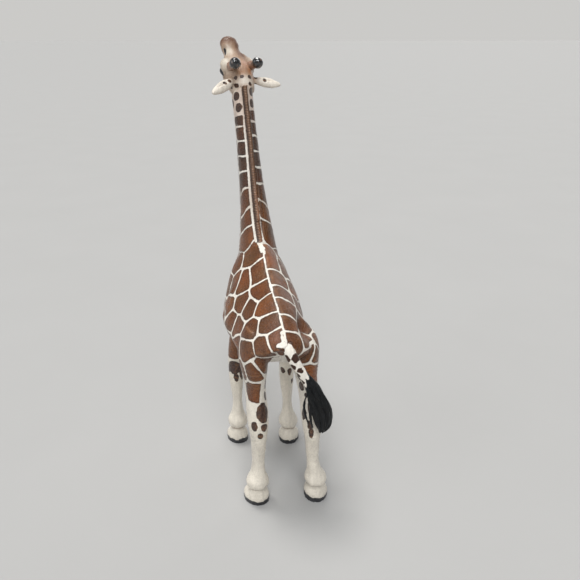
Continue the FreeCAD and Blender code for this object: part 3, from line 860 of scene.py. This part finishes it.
def ground_colour(skin):
    """The pale paint under the coat: cream on the body, whiter on the legs and ears, tan on the head."""
    points = skin.points
    place = head_places(points)
    height, _, backwards, _ = neck_places(points)
    body = ramp(points[:, 2], 40.0, 62.0)[:, None]
    colour = LEG_CREAM * (1 - body) + CREAM * body
    head = ramp(place[:, 0], -0.5, 3.0)[:, None]
    colour = colour * (1 - head) + HEAD_TAN * head
    upper_neck = (0.45 * ramp(height, 42.0, 60.0))[:, None] * (1 - head)
    colour = colour * (1 - upper_neck) + PINK_TAN * upper_neck

    def tint(colour, amount, paint):
        amount = np.clip(amount, 0, 1)[:, None]
        return colour * (1 - amount) + paint * amount

    for paint, strength, along, across, half_length, half_width in HEAD_TINTS:
        amount = strength * bell(place[:, 0], along, half_length) * bell(place[:, 1], across, half_width)
        colour = tint(colour, amount * ramp(place[:, 2], -2.0, 1.0) * head[:, 0], paint)
    colour = tint(colour, 0.9 * ramp(place[:, 0] - 0.2 * place[:, 1], 22.8, 25.4) * head[:, 0], TINT_BROWN)
    colour = tint(colour, 0.60 * ramp(-place[:, 2], 1.5, 3.5) * head[:, 0], CREAM)
    tanned = ramp(-mane_offset(height, TAN_LINE_PLACE), 0.8, 1.8) * ramp(backwards, -2.0, 0.0)
    colour = tint(colour, 0.8 * tanned * ramp(height, 10.0, 24.0) * fall(height, 60.0, 64.0), LINE_TAN)
    for line in ear_lines():
        share, off = ear_share(points, line)
        on_ear = ramp(share, 0.12, 0.42) * (off < 4.5)
        colour = tint(colour, 0.95 * on_ear, EAR_CREAM)
    mottle = 1 + 0.05 * wander(points, 6.0, 51) + 0.04 * wander(points, 1.8, 52)
    return colour * mottle[:, None]


def black_edge(skin):
    """How far inside black paint each point is: the soles, the eyes and the nostrils."""
    points = skin.points
    edge = 2.1 + 0.35 * wander(points, 4.0, 61) + 0.2 * wander(points, 1.5, 62) - points[:, 2]
    place = head_places(points)
    for side in (1, -1):
        edge = np.maximum(edge, 1.35 - eye_distance(place, side))
        edge = np.maximum(edge, nostril_edge(place, side))
    mouth = 0.16 - np.abs(above_mouth(place))
    return np.maximum(edge, np.where(place[:, 0] > 17.0, mouth, -9.0))


def paint(skin):
    """Stores what the paint material needs at each point of the skin."""
    edge, spots, mane, tone = coat_edge(skin)
    points = skin.points
    height, sideways = neck_places(points)[:2]
    offset = mane_offset(height, sideways)
    low = 1 - ramp(height, 8.0, 34.0)
    coat = BROWN * (0.80 + 0.40 * tone[:, None]) * (1 - 0.52 * ramp(height, 0.0, 36.0))[:, None]
    redder = 1 + 0.10 * wander(points, 15.0, 71)
    coat = coat * np.stack([redder, np.ones(len(points)), 2 - redder], 1)
    is_spot = (spots > edge)[:, None]
    coat = np.where(is_spot, SPOT_BROWN, coat)
    is_mane = (mane > np.maximum(edge, spots) - 0.3)[:, None] & (mane > -0.6)[:, None]
    rust = (0.75 * low * ramp(-offset, -0.6, 0.9))[:, None]
    coat = np.where(is_mane, MANE_BROWN * (1 - rust) + MANE_RUST * rust, coat)
    skin.store("patch", np.maximum.reduce([edge, spots, mane]))
    skin.store_colour("coat", coat)
    skin.store_colour("ground", ground_colour(skin))
    skin.store("black", black_edge(skin))
    skin.store("hollow", skin.hollow())
    skin.store("crest", np.where(is_mane[:, 0], bell(offset, 0.2, 0.26), 0.0))
    skin.store("up", height)


# ---- the pieces

def cut_plane(bm, point, normal, wanted):
    """Adds an edge loop where a plane crosses the wanted part of the skin."""
    middles = face_middles(bm)
    chosen = (np.abs(side_of(middles, point, normal)) < SEAM_REACH) & wanted(middles)
    faces = [face for face, is_chosen in zip(bm.faces, chosen) if is_chosen]
    geometry = set(faces)
    for face in faces:
        geometry.update(face.edges)
        geometry.update(face.verts)
    point = Vector(to_scene(point))
    bmesh.ops.bisect_plane(bm, geom=list(geometry), dist=1e-4 * MM, plane_co=point, plane_no=Vector(normal))


def face_middles(bm):
    return to_figure([tuple(face.calc_center_median()) for face in bm.faces])


def side_of(points, point, normal):
    return (points - np.asarray(point)) @ np.asarray(normal)


def above_neck_seam(points):
    return side_of(points, NECK_SEAM, NECK_SEAM_NORMAL)


def head_seam():
    """A point on the head's seam, and the seam's normal."""
    along = head_axes()[0]
    return HEAD_BASE + along * HEAD_SEAM, along


def piece_names(middles):
    """Which piece each face belongs to."""
    names = np.where(middles[:, 0] > 0, "torso_left_shell", "torso_right_shell").astype(object)
    names[above_neck_seam(middles) > 0] = "neck"
    names[(side_of(middles, *head_seam()) > 0) & (middles[:, 2] > HEAD_LEVEL)] = "head"
    for node, line in zip(("left_ear", "right_ear"), ear_lines()):
        share, off = ear_share(middles, line)
        names[(share * line[2] > ear_cut(line)) & by_ear(middles, off)] = node
    low = middles[:, 2] < LEG_SEAM
    for x_side, side in ((1, "left"), (-1, "right")):
        for y_side, end in ((1, "hind"), (-1, "front")):
            names[low & (middles[:, 0] * x_side > 0) & (middles[:, 1] * y_side > 0)] = f"{end}_{side}_leg"
    return names


def ear_cut(line):
    """Distance from the inner end of an ear's peg to its seam with the head."""
    return line[2] - EAR_LENGTH + EAR_SEAM


def split_skin(skin):
    """Cuts the skin along the moulded seams: a mesh for each piece, each one closed."""
    bm = bmesh.new()
    bm.from_mesh(skin.mesh)
    cut_plane(bm, (0, 0, LEG_SEAM), (0, 0, 1), lambda middles: middles[:, 2] > 0)
    cut_plane(bm, NECK_SEAM, NECK_SEAM_NORMAL, lambda middles: middles[:, 2] > LEG_SEAM + 4)

    def in_torso(middles):
        return (middles[:, 2] > LEG_SEAM - 1) & (above_neck_seam(middles) < 0.5)

    cut_plane(bm, (0, 0, 0), (1, 0, 0), in_torso)
    cut_plane(bm, *head_seam(), lambda middles: middles[:, 2] > HEAD_LEVEL)
    for line in ear_lines():
        seam = line[0] + line[1] * ear_cut(line)
        cut_plane(bm, seam, line[1], lambda middles: np.linalg.norm(middles - seam, axis=1) < EAR_REGION)
    names = piece_names(face_middles(bm))
    pieces = {}
    for name in sorted(set(names)):
        part = bm.copy()
        part.faces.ensure_lookup_table()
        drop = [face for face, owner in zip(part.faces, names) if owner != name]
        bmesh.ops.delete(part, geom=drop, context="FACES")
        close_cuts(part)
        mesh = bpy.data.meshes.new(name)
        part.to_mesh(mesh)
        part.free()
        pieces[name] = mesh
    bm.free()
    return pieces


def cap_neck_opening(bm, rim):
    """Closes a torso half under the neck, where its rim turns a corner, so that the rest of its rim is flat.

    It does nothing to the other pieces, whose rims are flat already.
    """
    on_seam = {vert for edge in rim for vert in edge.verts if abs(above_neck_seam(to_figure(vert.co))) < 0.01}
    seam = [edge for edge in rim if on_seam.issuperset(edge.verts)]
    verts = [vert for edge in seam for vert in edge.verts]
    ends = [vert for vert in verts if verts.count(vert) == 1]
    if len(ends) != 2:
        return []
    chain = [ends[0]]
    while seam:
        edge = next(edge for edge in chain[-1].link_edges if edge in seam)
        seam.remove(edge)
        chain.append(edge.other_vert(chain[-1]))
    first = next(edge for edge in chain[0].link_edges if chain[1] in edge.verts)
    if first.link_loops[0].vert == chain[0]:
        chain.reverse()
    return [bm.faces.new(chain)]


def close_cuts(bm):
    """Fills the open loops that the seams leave, with flat sharp-edged caps."""
    rim = [edge for edge in bm.edges if edge.is_boundary]
    for edge in rim:
        edge.smooth = False
    made = cap_neck_opening(bm, rim)
    rim = [edge for edge in bm.edges if edge.is_boundary]
    made += bmesh.ops.holes_fill(bm, edges=rim, sides=0)["faces"]
    for face in bm.faces:
        face.smooth = True
    for face in made:
        face.smooth = False
    bmesh.ops.triangulate(bm, faces=made)


def add_piece(name, mesh, material, node):
    """Adds one piece, in place of the CAD node that it shows."""
    piece = bpy.data.objects.new(name, mesh)
    bpy.context.scene.collection.objects.link(piece)
    mesh.materials.clear()
    mesh.materials.append(material)
    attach(piece, "root")
    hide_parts(node)


# ---- horns and tail

HORN_KNOB = 2.3  # radius of the ball on each horn


def horn_skin(node):
    """A horn: a short hairy stalk that swells into a smooth glossy ball."""
    skin = Skin(voxel_skin((node,), 0.5 * VOXEL))
    skin.relax(3)
    start, direction, length = cad_axis(node, HEAD_BASE)
    knob = start + direction * (length - HORN_KNOB)
    off_knob = np.linalg.norm(skin.points - knob, axis=1)
    on_stalk = ramp(off_knob, HORN_KNOB + 0.1, HORN_KNOB + 0.9)
    skin.push(on_stalk * 0.10 * wander(skin.points * (1.0, 1.0, 0.4), 0.9, 81))
    skin.push((1 - on_stalk) * 0.05 * wander(skin.points, 1.6, 82))
    skin.write_points()
    skin.store("black", HORN_KNOB + 0.25 + 0.2 * wander(skin.points, 1.4, 83) - off_knob)
    skin.store_colour("ground", HORN_TAN * (1 + 0.2 * wander(skin.points, 2.0, 84))[:, None])
    return skin.mesh


# The tail's middle line from its root down to the tip of the tuft
TAIL_LINE = (
    (-0.2, 28.6, 75.0), (-0.9, 31.2, 72.8), (-3.3, 33.0, 67.9), (-5.8, 33.8, 63.8), (-7.8, 34.0, 60.2),
    (-10.0, 34.2, 54.4), (-12.1, 34.3, 48.6), (-12.8, 34.2, 44.0), (-12.3, 34.0, 39.4),
)
TUFT_TOP = 62.5
TAIL_SPOTS = (
    (2.4, 31.0, 74.2, 1.3), (-2.6, 33.4, 71.9, 1.8), (1.0, 32.8, 71.4, 1.5), (-0.8, 34.2, 68.2, 1.5),
    (-3.7, 34.8, 67.2, 1.1), (-2.4, 34.4, 65.0, 1.2), (-4.4, 34.0, 62.4, 1.1), (-8.0, 34.0, 66.4, 0.9),
)
# Thin locks that hang away from the tuft: their points, from the thick end to the tip
STRAY_LOCKS = (
    ((-8.3, 35.0, 60.5), (-5.3, 35.0, 53.5), (-7.0, 34.7, 44.5)),
    ((-8.8, 35.0, 54.0), (-7.6, 34.9, 48.5), (-8.8, 34.6, 42.0)),
)
LOCK_RADIUS = 0.55


def tail_places(points):
    """How far down the tail each point is, its angle round the tail, and how far to the left it is in it."""
    rising = np.array(TAIL_LINE)[::-1]
    middle = np.stack([np.interp(points[:, 2], rising[:, 2], rising[:, axis]) for axis in range(3)], 1)
    gap = points - middle
    return TAIL_LINE[0][2] - points[:, 2], np.arctan2(gap[:, 0], gap[:, 1]), gap[:, 0]


def add_lock(bm, points):
    """Adds a tapering tube through three points, to be joined to the tail's skin."""
    start, middle, end = (np.array(point) for point in points)
    rings, sides = 14, 8
    previous = None
    for k in range(rings):
        t = k / (rings - 1)
        centre = (1 - t) ** 2 * start + 2 * t * (1 - t) * (2 * middle - (start + end) / 2) + t * t * end
        radius = LOCK_RADIUS * (1 - 0.65 * t)
        ring = []
        for side in range(sides):
            turn = 2 * math.pi * side / sides
            out = np.array((math.cos(turn), math.sin(turn), 0))
            ring.append(bm.verts.new(to_scene(centre + radius * out)))
        if previous:
            for side in range(sides):
                after = (side + 1) % sides
                bm.faces.new((previous[side], previous[after], ring[after], ring[side]))
        else:
            bm.faces.new(ring)
        previous = ring
    bm.faces.new(list(reversed(previous)))


def tail_skin():
    """The tail: a thin spotted stalk that ends in a long tuft of combed black hair."""
    skin = Skin(voxel_skin(("tail",), 0.7 * VOXEL, STRAY_LOCKS))
    skin.relax(3)
    down, angle, leftward = tail_places(skin.points)
    tuft = ramp(-skin.points[:, 2], -TUFT_TOP, -TUFT_TOP + 4.0)
    sway = 2.2 * np.sin(down * 0.16) + 0.12 * down
    locks = np.sin(5 * angle + sway) * 0.30 + np.sin(11 * angle - 1.7 * sway + 0.8) * 0.16
    strands = 0.07 * np.sin(27 * angle + 3.1 * sway + 0.9 * wander(skin.points, 5.0, 91))
    skin.push(tuft * (locks + strands - 0.10))
    skin.push((1 - tuft) * 0.06 * wander(skin.points, 1.4, 92))
    skin.write_points()
    points = skin.points
    below_top = TUFT_TOP + 0.8 - points[:, 2]
    skin.store("black", 0.5 * below_top - 0.6 * leftward + 0.4 * np.sin(4 * angle + 1.0))
    spots = np.full(len(points), -9.0)
    for x, y, z, radius in TAIL_SPOTS:
        spots = np.maximum(spots, spot_edge(points, (x, y, z), (radius, 1.6, radius)))
    skin.store("patch", spots + 0.2 * wander(points, 1.6, 93))
    return skin.mesh


# ---- materials

class Nodes:
    """Short calls for building a material's node tree."""

    def __init__(self, name):
        self.material = bpy.data.materials.new(name)
        self.material.use_nodes = True
        self.tree = self.material.node_tree
        self.shader = self.tree.nodes["Principled BSDF"]
        self.place = self.tree.nodes.new("ShaderNodeTexCoord").outputs["Object"]

    def link(self, value, socket):
        if isinstance(value, bpy.types.NodeSocket):
            self.tree.links.new(value, socket)
        elif hasattr(socket.default_value, "__len__") and not hasattr(value, "__len__"):
            socket.default_value = (value,) * len(socket.default_value)
        else:
            socket.default_value = value

    def ragged(self, amount):
        """Small ups and downs, by up to about half the amount, for the edges of hand-laid paint."""
        return self.times(self.minus(self.noise(0.9, 3), 0.5), amount)

    def attribute(self, name, colour=False):
        node = self.tree.nodes.new("ShaderNodeAttribute")
        node.attribute_name = name
        return node.outputs["Color" if colour else "Fac"]

    def noise(self, size, detail=3.0, stretch=(1, 1, 1), rough=0.55, lean=0.0):
        """Noise from 0 to 1 with features of a size in millimetres, longer along an axis that is stretched.

        Lean tips the axes back, about the axis across the figure, by an angle in radians.
        """
        mapping = self.tree.nodes.new("ShaderNodeMapping")
        mapping.vector_type = "TEXTURE"
        mapping.inputs["Rotation"].default_value[0] = lean
        mapping.inputs["Scale"].default_value = [size * MM * axis for axis in stretch]
        self.link(self.place, mapping.inputs["Vector"])
        node = self.tree.nodes.new("ShaderNodeTexNoise")
        node.inputs["Scale"].default_value = 1.0
        node.inputs["Detail"].default_value = detail
        node.inputs["Roughness"].default_value = rough
        self.link(mapping.outputs["Vector"], node.inputs["Vector"])
        return node.outputs["Fac"]

    def math(self, operation, first, second=0.0):
        node = self.tree.nodes.new("ShaderNodeMath")
        node.operation = operation
        self.link(first, node.inputs[0])
        self.link(second, node.inputs[1])
        return node.outputs[0]

    def plus(self, first, second):
        return self.math("ADD", first, second)

    def minus(self, first, second):
        return self.math("SUBTRACT", first, second)

    def times(self, first, second):
        return self.math("MULTIPLY", first, second)

    def scaled(self, value, low, high, to_low=0.0, to_high=1.0):
        """The value's range from low to high, turned smoothly into the range from to_low to to_high."""
        node = self.tree.nodes.new("ShaderNodeMapRange")
        node.interpolation_type = "SMOOTHSTEP"
        self.link(value, node.inputs["Value"])
        for socket, number in zip(("From Min", "From Max", "To Min", "To Max"), (low, high, to_low, to_high)):
            node.inputs[socket].default_value = number
        return node.outputs["Result"]

    def mix(self, share, first, second, blend="MIX"):
        node = self.tree.nodes.new("ShaderNodeMix")
        node.data_type = "RGBA"
        node.blend_type = blend
        self.link(share, node.inputs[0])
        for value, socket in ((first, node.inputs[6]), (second, node.inputs[7])):
            self.link(value if isinstance(value, bpy.types.NodeSocket) else (*value, 1.0), socket)
        return node.outputs[2]

    def brightness(self, colour, factor):
        grey = self.tree.nodes.new("ShaderNodeCombineColor")
        for socket in grey.inputs:
            self.link(factor, socket)
        return self.mix(1.0, colour, grey.outputs[0], "MULTIPLY")

    def bump(self, height, depth):
        """Surface relief: height from 0 to 1 over a depth in millimetres."""
        node = self.tree.nodes.new("ShaderNodeBump")
        node.inputs["Strength"].default_value = 1.0
        node.inputs["Distance"].default_value = depth * MM
        self.link(height, node.inputs["Height"])
        self.link(node.outputs["Normal"], self.shader.inputs["Normal"])

    def finish(self, colour, roughness, clearcoat=0.0, specular=0.5, coat_roughness=0.28):
        self.link(colour, self.shader.inputs["Base Color"])
        self.link(roughness, self.shader.inputs["Roughness"])
        self.shader.inputs["Coat Weight"].default_value = clearcoat
        self.shader.inputs["Coat Roughness"].default_value = coat_roughness
        self.shader.inputs["Specular IOR Level"].default_value = specular
        return self.material


HAIR_LEAN = math.radians(-35)  # the moulded hair lies up the legs and neck and back along the spine


def painted_vinyl():
    """Satin vinyl painted by hand: pale ground, brown coat with darker rims, painted shade in the hollows,
    and painted highlights on raised ridges and on the mane's tufts.
    """
    nodes = Nodes("painted_vinyl")
    ragged = nodes.ragged(0.55)
    patch = nodes.plus(nodes.attribute("patch"), ragged)
    inside = nodes.scaled(patch, -0.09, 0.09)
    hair = nodes.noise(0.42, 3, (1.0, 1.0, 4.5), 0.6, HAIR_LEAN)
    cloud = nodes.noise(6.0, 2)

    ground = nodes.attribute("ground", True)
    # Painted shade: the pale ground darkens in its hollows, and also in random large blotches of grime
    hollow_shade_and_grime = nodes.scaled(nodes.attribute("hollow"), 0.01, 0.10)
    hollow_shade_and_grime = nodes.plus(hollow_shade_and_grime, nodes.scaled(cloud, 0.62, 0.9, 0, 0.25))
    ground = nodes.mix(nodes.times(hollow_shade_and_grime, 0.55), ground, SHADE_AND_GRIME)
    ground = nodes.brightness(ground, nodes.scaled(hair, 0.25, 0.75, 0.90, 1.06))

    coat = nodes.attribute("coat", True)
    rim = nodes.scaled(patch, 0.0, 0.75, 0.55, 1.0)
    coat = nodes.brightness(coat, rim)
    coat = nodes.brightness(coat, nodes.scaled(cloud, 0.25, 0.75, 0.82, 1.22))
    coat = nodes.brightness(coat, nodes.scaled(hair, 0.32, 0.68, 0.68, 1.40))
    # Painted highlight on raised ridges of the coat, where the skin stands above its surroundings
    lit_hair = nodes.times(nodes.scaled(nodes.attribute("hollow"), -0.012, -0.05), 0.28)
    coat = nodes.mix(lit_hair, coat, RIDGE_HIGHLIGHT)
    # Painted highlights: light dots along the mane's crest, one on each tuft
    glint_dots = nodes.math("SINE", nodes.times(nodes.attribute("up"), 2 * math.pi / TUFT_PITCH))
    glint_dots = nodes.times(nodes.scaled(glint_dots, 0.1, 0.95), nodes.attribute("crest"))
    glint_dots = nodes.times(glint_dots, nodes.scaled(nodes.noise(1.6, 1), 0.35, 0.62, 0.25, 1.0))
    coat = nodes.mix(nodes.times(glint_dots, 0.85), coat, TUFT_HIGHLIGHT)

    colour = nodes.mix(inside, ground, coat)
    black = nodes.scaled(nodes.plus(nodes.attribute("black"), nodes.times(ragged, 0.5)), -0.06, 0.06)
    black_paint = nodes.brightness(BLACK, nodes.scaled(cloud, 0.3, 0.7, 0.7, 1.8))
    colour = nodes.mix(black, colour, black_paint)

    speckle = nodes.noise(0.42, 2)
    dull = nodes.scaled(speckle, 0.35, 0.7, 0.23, 0.45)
    roughness = nodes.minus(dull, nodes.times(black, 0.14))
    relief = nodes.plus(nodes.times(hair, 0.65), nodes.times(speckle, 0.35))
    relief = nodes.plus(relief, nodes.times(inside, 0.25))
    nodes.bump(relief, 0.34)
    return nodes.finish(colour, roughness, 0.12, 0.48)


def glossy_horn():
    """The horns: wet-looking black balls on brown stalks."""
    nodes = Nodes("glossy_horn")
    ball = nodes.scaled(nodes.attribute("black"), -0.3, 0.25)
    fleck = nodes.noise(0.7, 3)
    stalk = nodes.brightness(nodes.attribute("ground", True), nodes.scaled(fleck, 0.3, 0.7, 0.7, 1.3))
    # Painted reflection: bluish grey blotches mottled into the ball's black
    ball_colour = nodes.mix(nodes.scaled(nodes.noise(1.3, 2), 0.56, 0.72), BALL_BLACK, BALL_REFLECTION)
    colour = nodes.mix(ball, stalk, ball_colour)
    roughness = nodes.plus(nodes.times(ball, -0.38), nodes.scaled(fleck, 0.2, 0.8, 0.44, 0.54))
    nodes.bump(nodes.plus(nodes.times(fleck, 0.5), nodes.noise(1.6, 1)), 0.10)
    return nodes.finish(colour, roughness, 1.0, 0.5, 0.03)


def glossy_hair():
    """The tail: cream and brown paint at its root, then black combed hair with a wet sheen, partly a painted
    highlight of lighter streaks along the strands.
    """
    nodes = Nodes("glossy_hair")
    ragged = nodes.ragged(0.5)
    spots = nodes.scaled(nodes.plus(nodes.attribute("patch"), ragged), -0.08, 0.08)
    stalk = nodes.mix(spots, CREAM * 1.05, SPOT_BROWN)
    strand = nodes.noise(0.35, 4, (1.0, 1.0, 9.0), 0.6)
    # Painted highlight: lighter streaks along the black hair
    hair = nodes.mix(nodes.scaled(strand, 0.45, 0.75), HAIR_BLACK, HAIR_HIGHLIGHT)
    black = nodes.scaled(nodes.plus(nodes.attribute("black"), nodes.times(ragged, 1.6)), -0.1, 0.1)
    colour = nodes.mix(black, stalk, hair)
    roughness = nodes.minus(nodes.scaled(strand, 0.3, 0.7, 0.42, 0.54), nodes.times(black, 0.16))
    nodes.bump(strand, 0.22)
    return nodes.finish(colour, roughness, 0.0, 0.28)


# ---- stage

CAMERA_PLACE = (41.2, 213.2, 176.0)
CAMERA_TURN = math.radians(13.0)  # how far the view is turned from straight up the giraffe's back
CAMERA_TILT = math.radians(22.9)
SENSOR = 36.0
LENS = 37.24
FLOOR_REACH = 30.0  # metres
BACKDROP = (0.598, 0.592, 0.576)  # as bright as the far floor
SKY = (0.26, 0.265, 0.27)
# Lamps: name, place, degrees across, strength and colour
LIGHTS = (
    ("key", (90, -110, 640), 22, 1.9, (1.0, 0.985, 0.96)),
    ("window", (60, 330, 480), 32, 1.9, (0.97, 0.985, 1.0)),
    ("side", (480, 60, 300), 50, 0.6, (0.96, 0.98, 1.0)),
    ("front", (-260, -420, 330), 50, 0.6, (1.0, 0.99, 0.97)),
)
LIT_PLACE = (0.0, 0.0, 85.0)  # the giraffe's middle


def floor_material():
    nodes = Nodes("floor_paint")
    colour = nodes.mix(nodes.noise(60.0, 3), (0.40, 0.396, 0.388), (0.42, 0.416, 0.408))
    nodes.bump(nodes.noise(1.5, 3), 0.03)
    return nodes.finish(colour, 0.8, 0.0, 0.05)


def add_floor():
    """A plain pale floor that reaches to the horizon."""
    mesh = bpy.data.meshes.new("floor")
    corners = [(x * FLOOR_REACH, y * FLOOR_REACH, 0) for x, y in ((-1, -1), (1, -1), (1, 1), (-1, 1))]
    mesh.from_pydata(corners, [], [(0, 1, 2, 3)])
    mesh.materials.append(floor_material())
    floor = bpy.data.objects.new("floor", mesh)
    bpy.context.scene.collection.objects.link(floor)


def add_camera():
    camera = bpy.data.objects.new("camera", bpy.data.cameras.new("camera"))
    camera.data.sensor_width = SENSOR
    camera.data.lens = LENS
    camera.data.clip_start = 0.01
    bpy.context.scene.collection.objects.link(camera)
    level = math.cos(CAMERA_TILT)
    heading = Vector((-math.sin(CAMERA_TURN) * level, -math.cos(CAMERA_TURN) * level, -math.sin(CAMERA_TILT)))
    camera.location = to_scene(CAMERA_PLACE)
    camera.rotation_euler = heading.to_track_quat("-Z", "Y").to_euler()
    bpy.context.scene.camera = camera


def add_light(name, place, spread, power, colour):
    """A soft distant lamp that shines on the giraffe's middle from a place in the figure's frame."""
    lamp = bpy.data.objects.new(name, bpy.data.lights.new(name, "SUN"))
    lamp.data.angle = math.radians(spread)
    lamp.data.energy = power
    lamp.data.color = colour
    lamp.location = to_scene(place)
    target = Vector(to_scene(LIT_PLACE))
    lamp.rotation_euler = (target - lamp.location).to_track_quat("-Z", "Y").to_euler()
    bpy.context.scene.collection.objects.link(lamp)


def add_lighting():
    """Soft light from above and behind the animal, and a sky as bright to the camera as the far floor."""
    for name, place, spread, power, colour in LIGHTS:
        add_light(name, place, spread, power, colour)
    world = bpy.data.worlds.new("studio")
    world.use_nodes = True
    tree = world.node_tree
    background = tree.nodes["Background"]
    sky = tree.nodes.new("ShaderNodeMix")
    sky.data_type = "RGBA"
    sky.inputs[6].default_value = (*SKY, 1.0)
    sky.inputs[7].default_value = (*BACKDROP, 1.0)
    tree.links.new(tree.nodes.new("ShaderNodeLightPath").outputs["Is Camera Ray"], sky.inputs[0])
    tree.links.new(sky.outputs[2], background.inputs["Color"])
    background.inputs["Strength"].default_value = 1.0
    bpy.context.scene.world = world
    bpy.context.scene.view_settings.view_transform = "Standard"


# ---- the figure


def add_figure():
    skin = Skin(voxel_skin(SKIN_NODES, VOXEL))
    sculpt(skin)
    paint(skin)
    vinyl = painted_vinyl()
    for node, mesh in split_skin(skin).items():
        name = node.replace("_shell", "") + "_skin"
        add_piece(name, mesh, vinyl, node)
    horn = glossy_horn()
    for node in ("left_horn", "right_horn"):
        add_smooth_piece(node + "_moulding", horn_skin(node), horn, node)
    add_smooth_piece("tail_moulding", tail_skin(), glossy_hair(), "tail")


def add_smooth_piece(name, mesh, material, node):
    for face in mesh.polygons:
        face.use_smooth = True
    add_piece(name, mesh, material, node)


add_figure()
add_floor()
add_lighting()
add_camera()
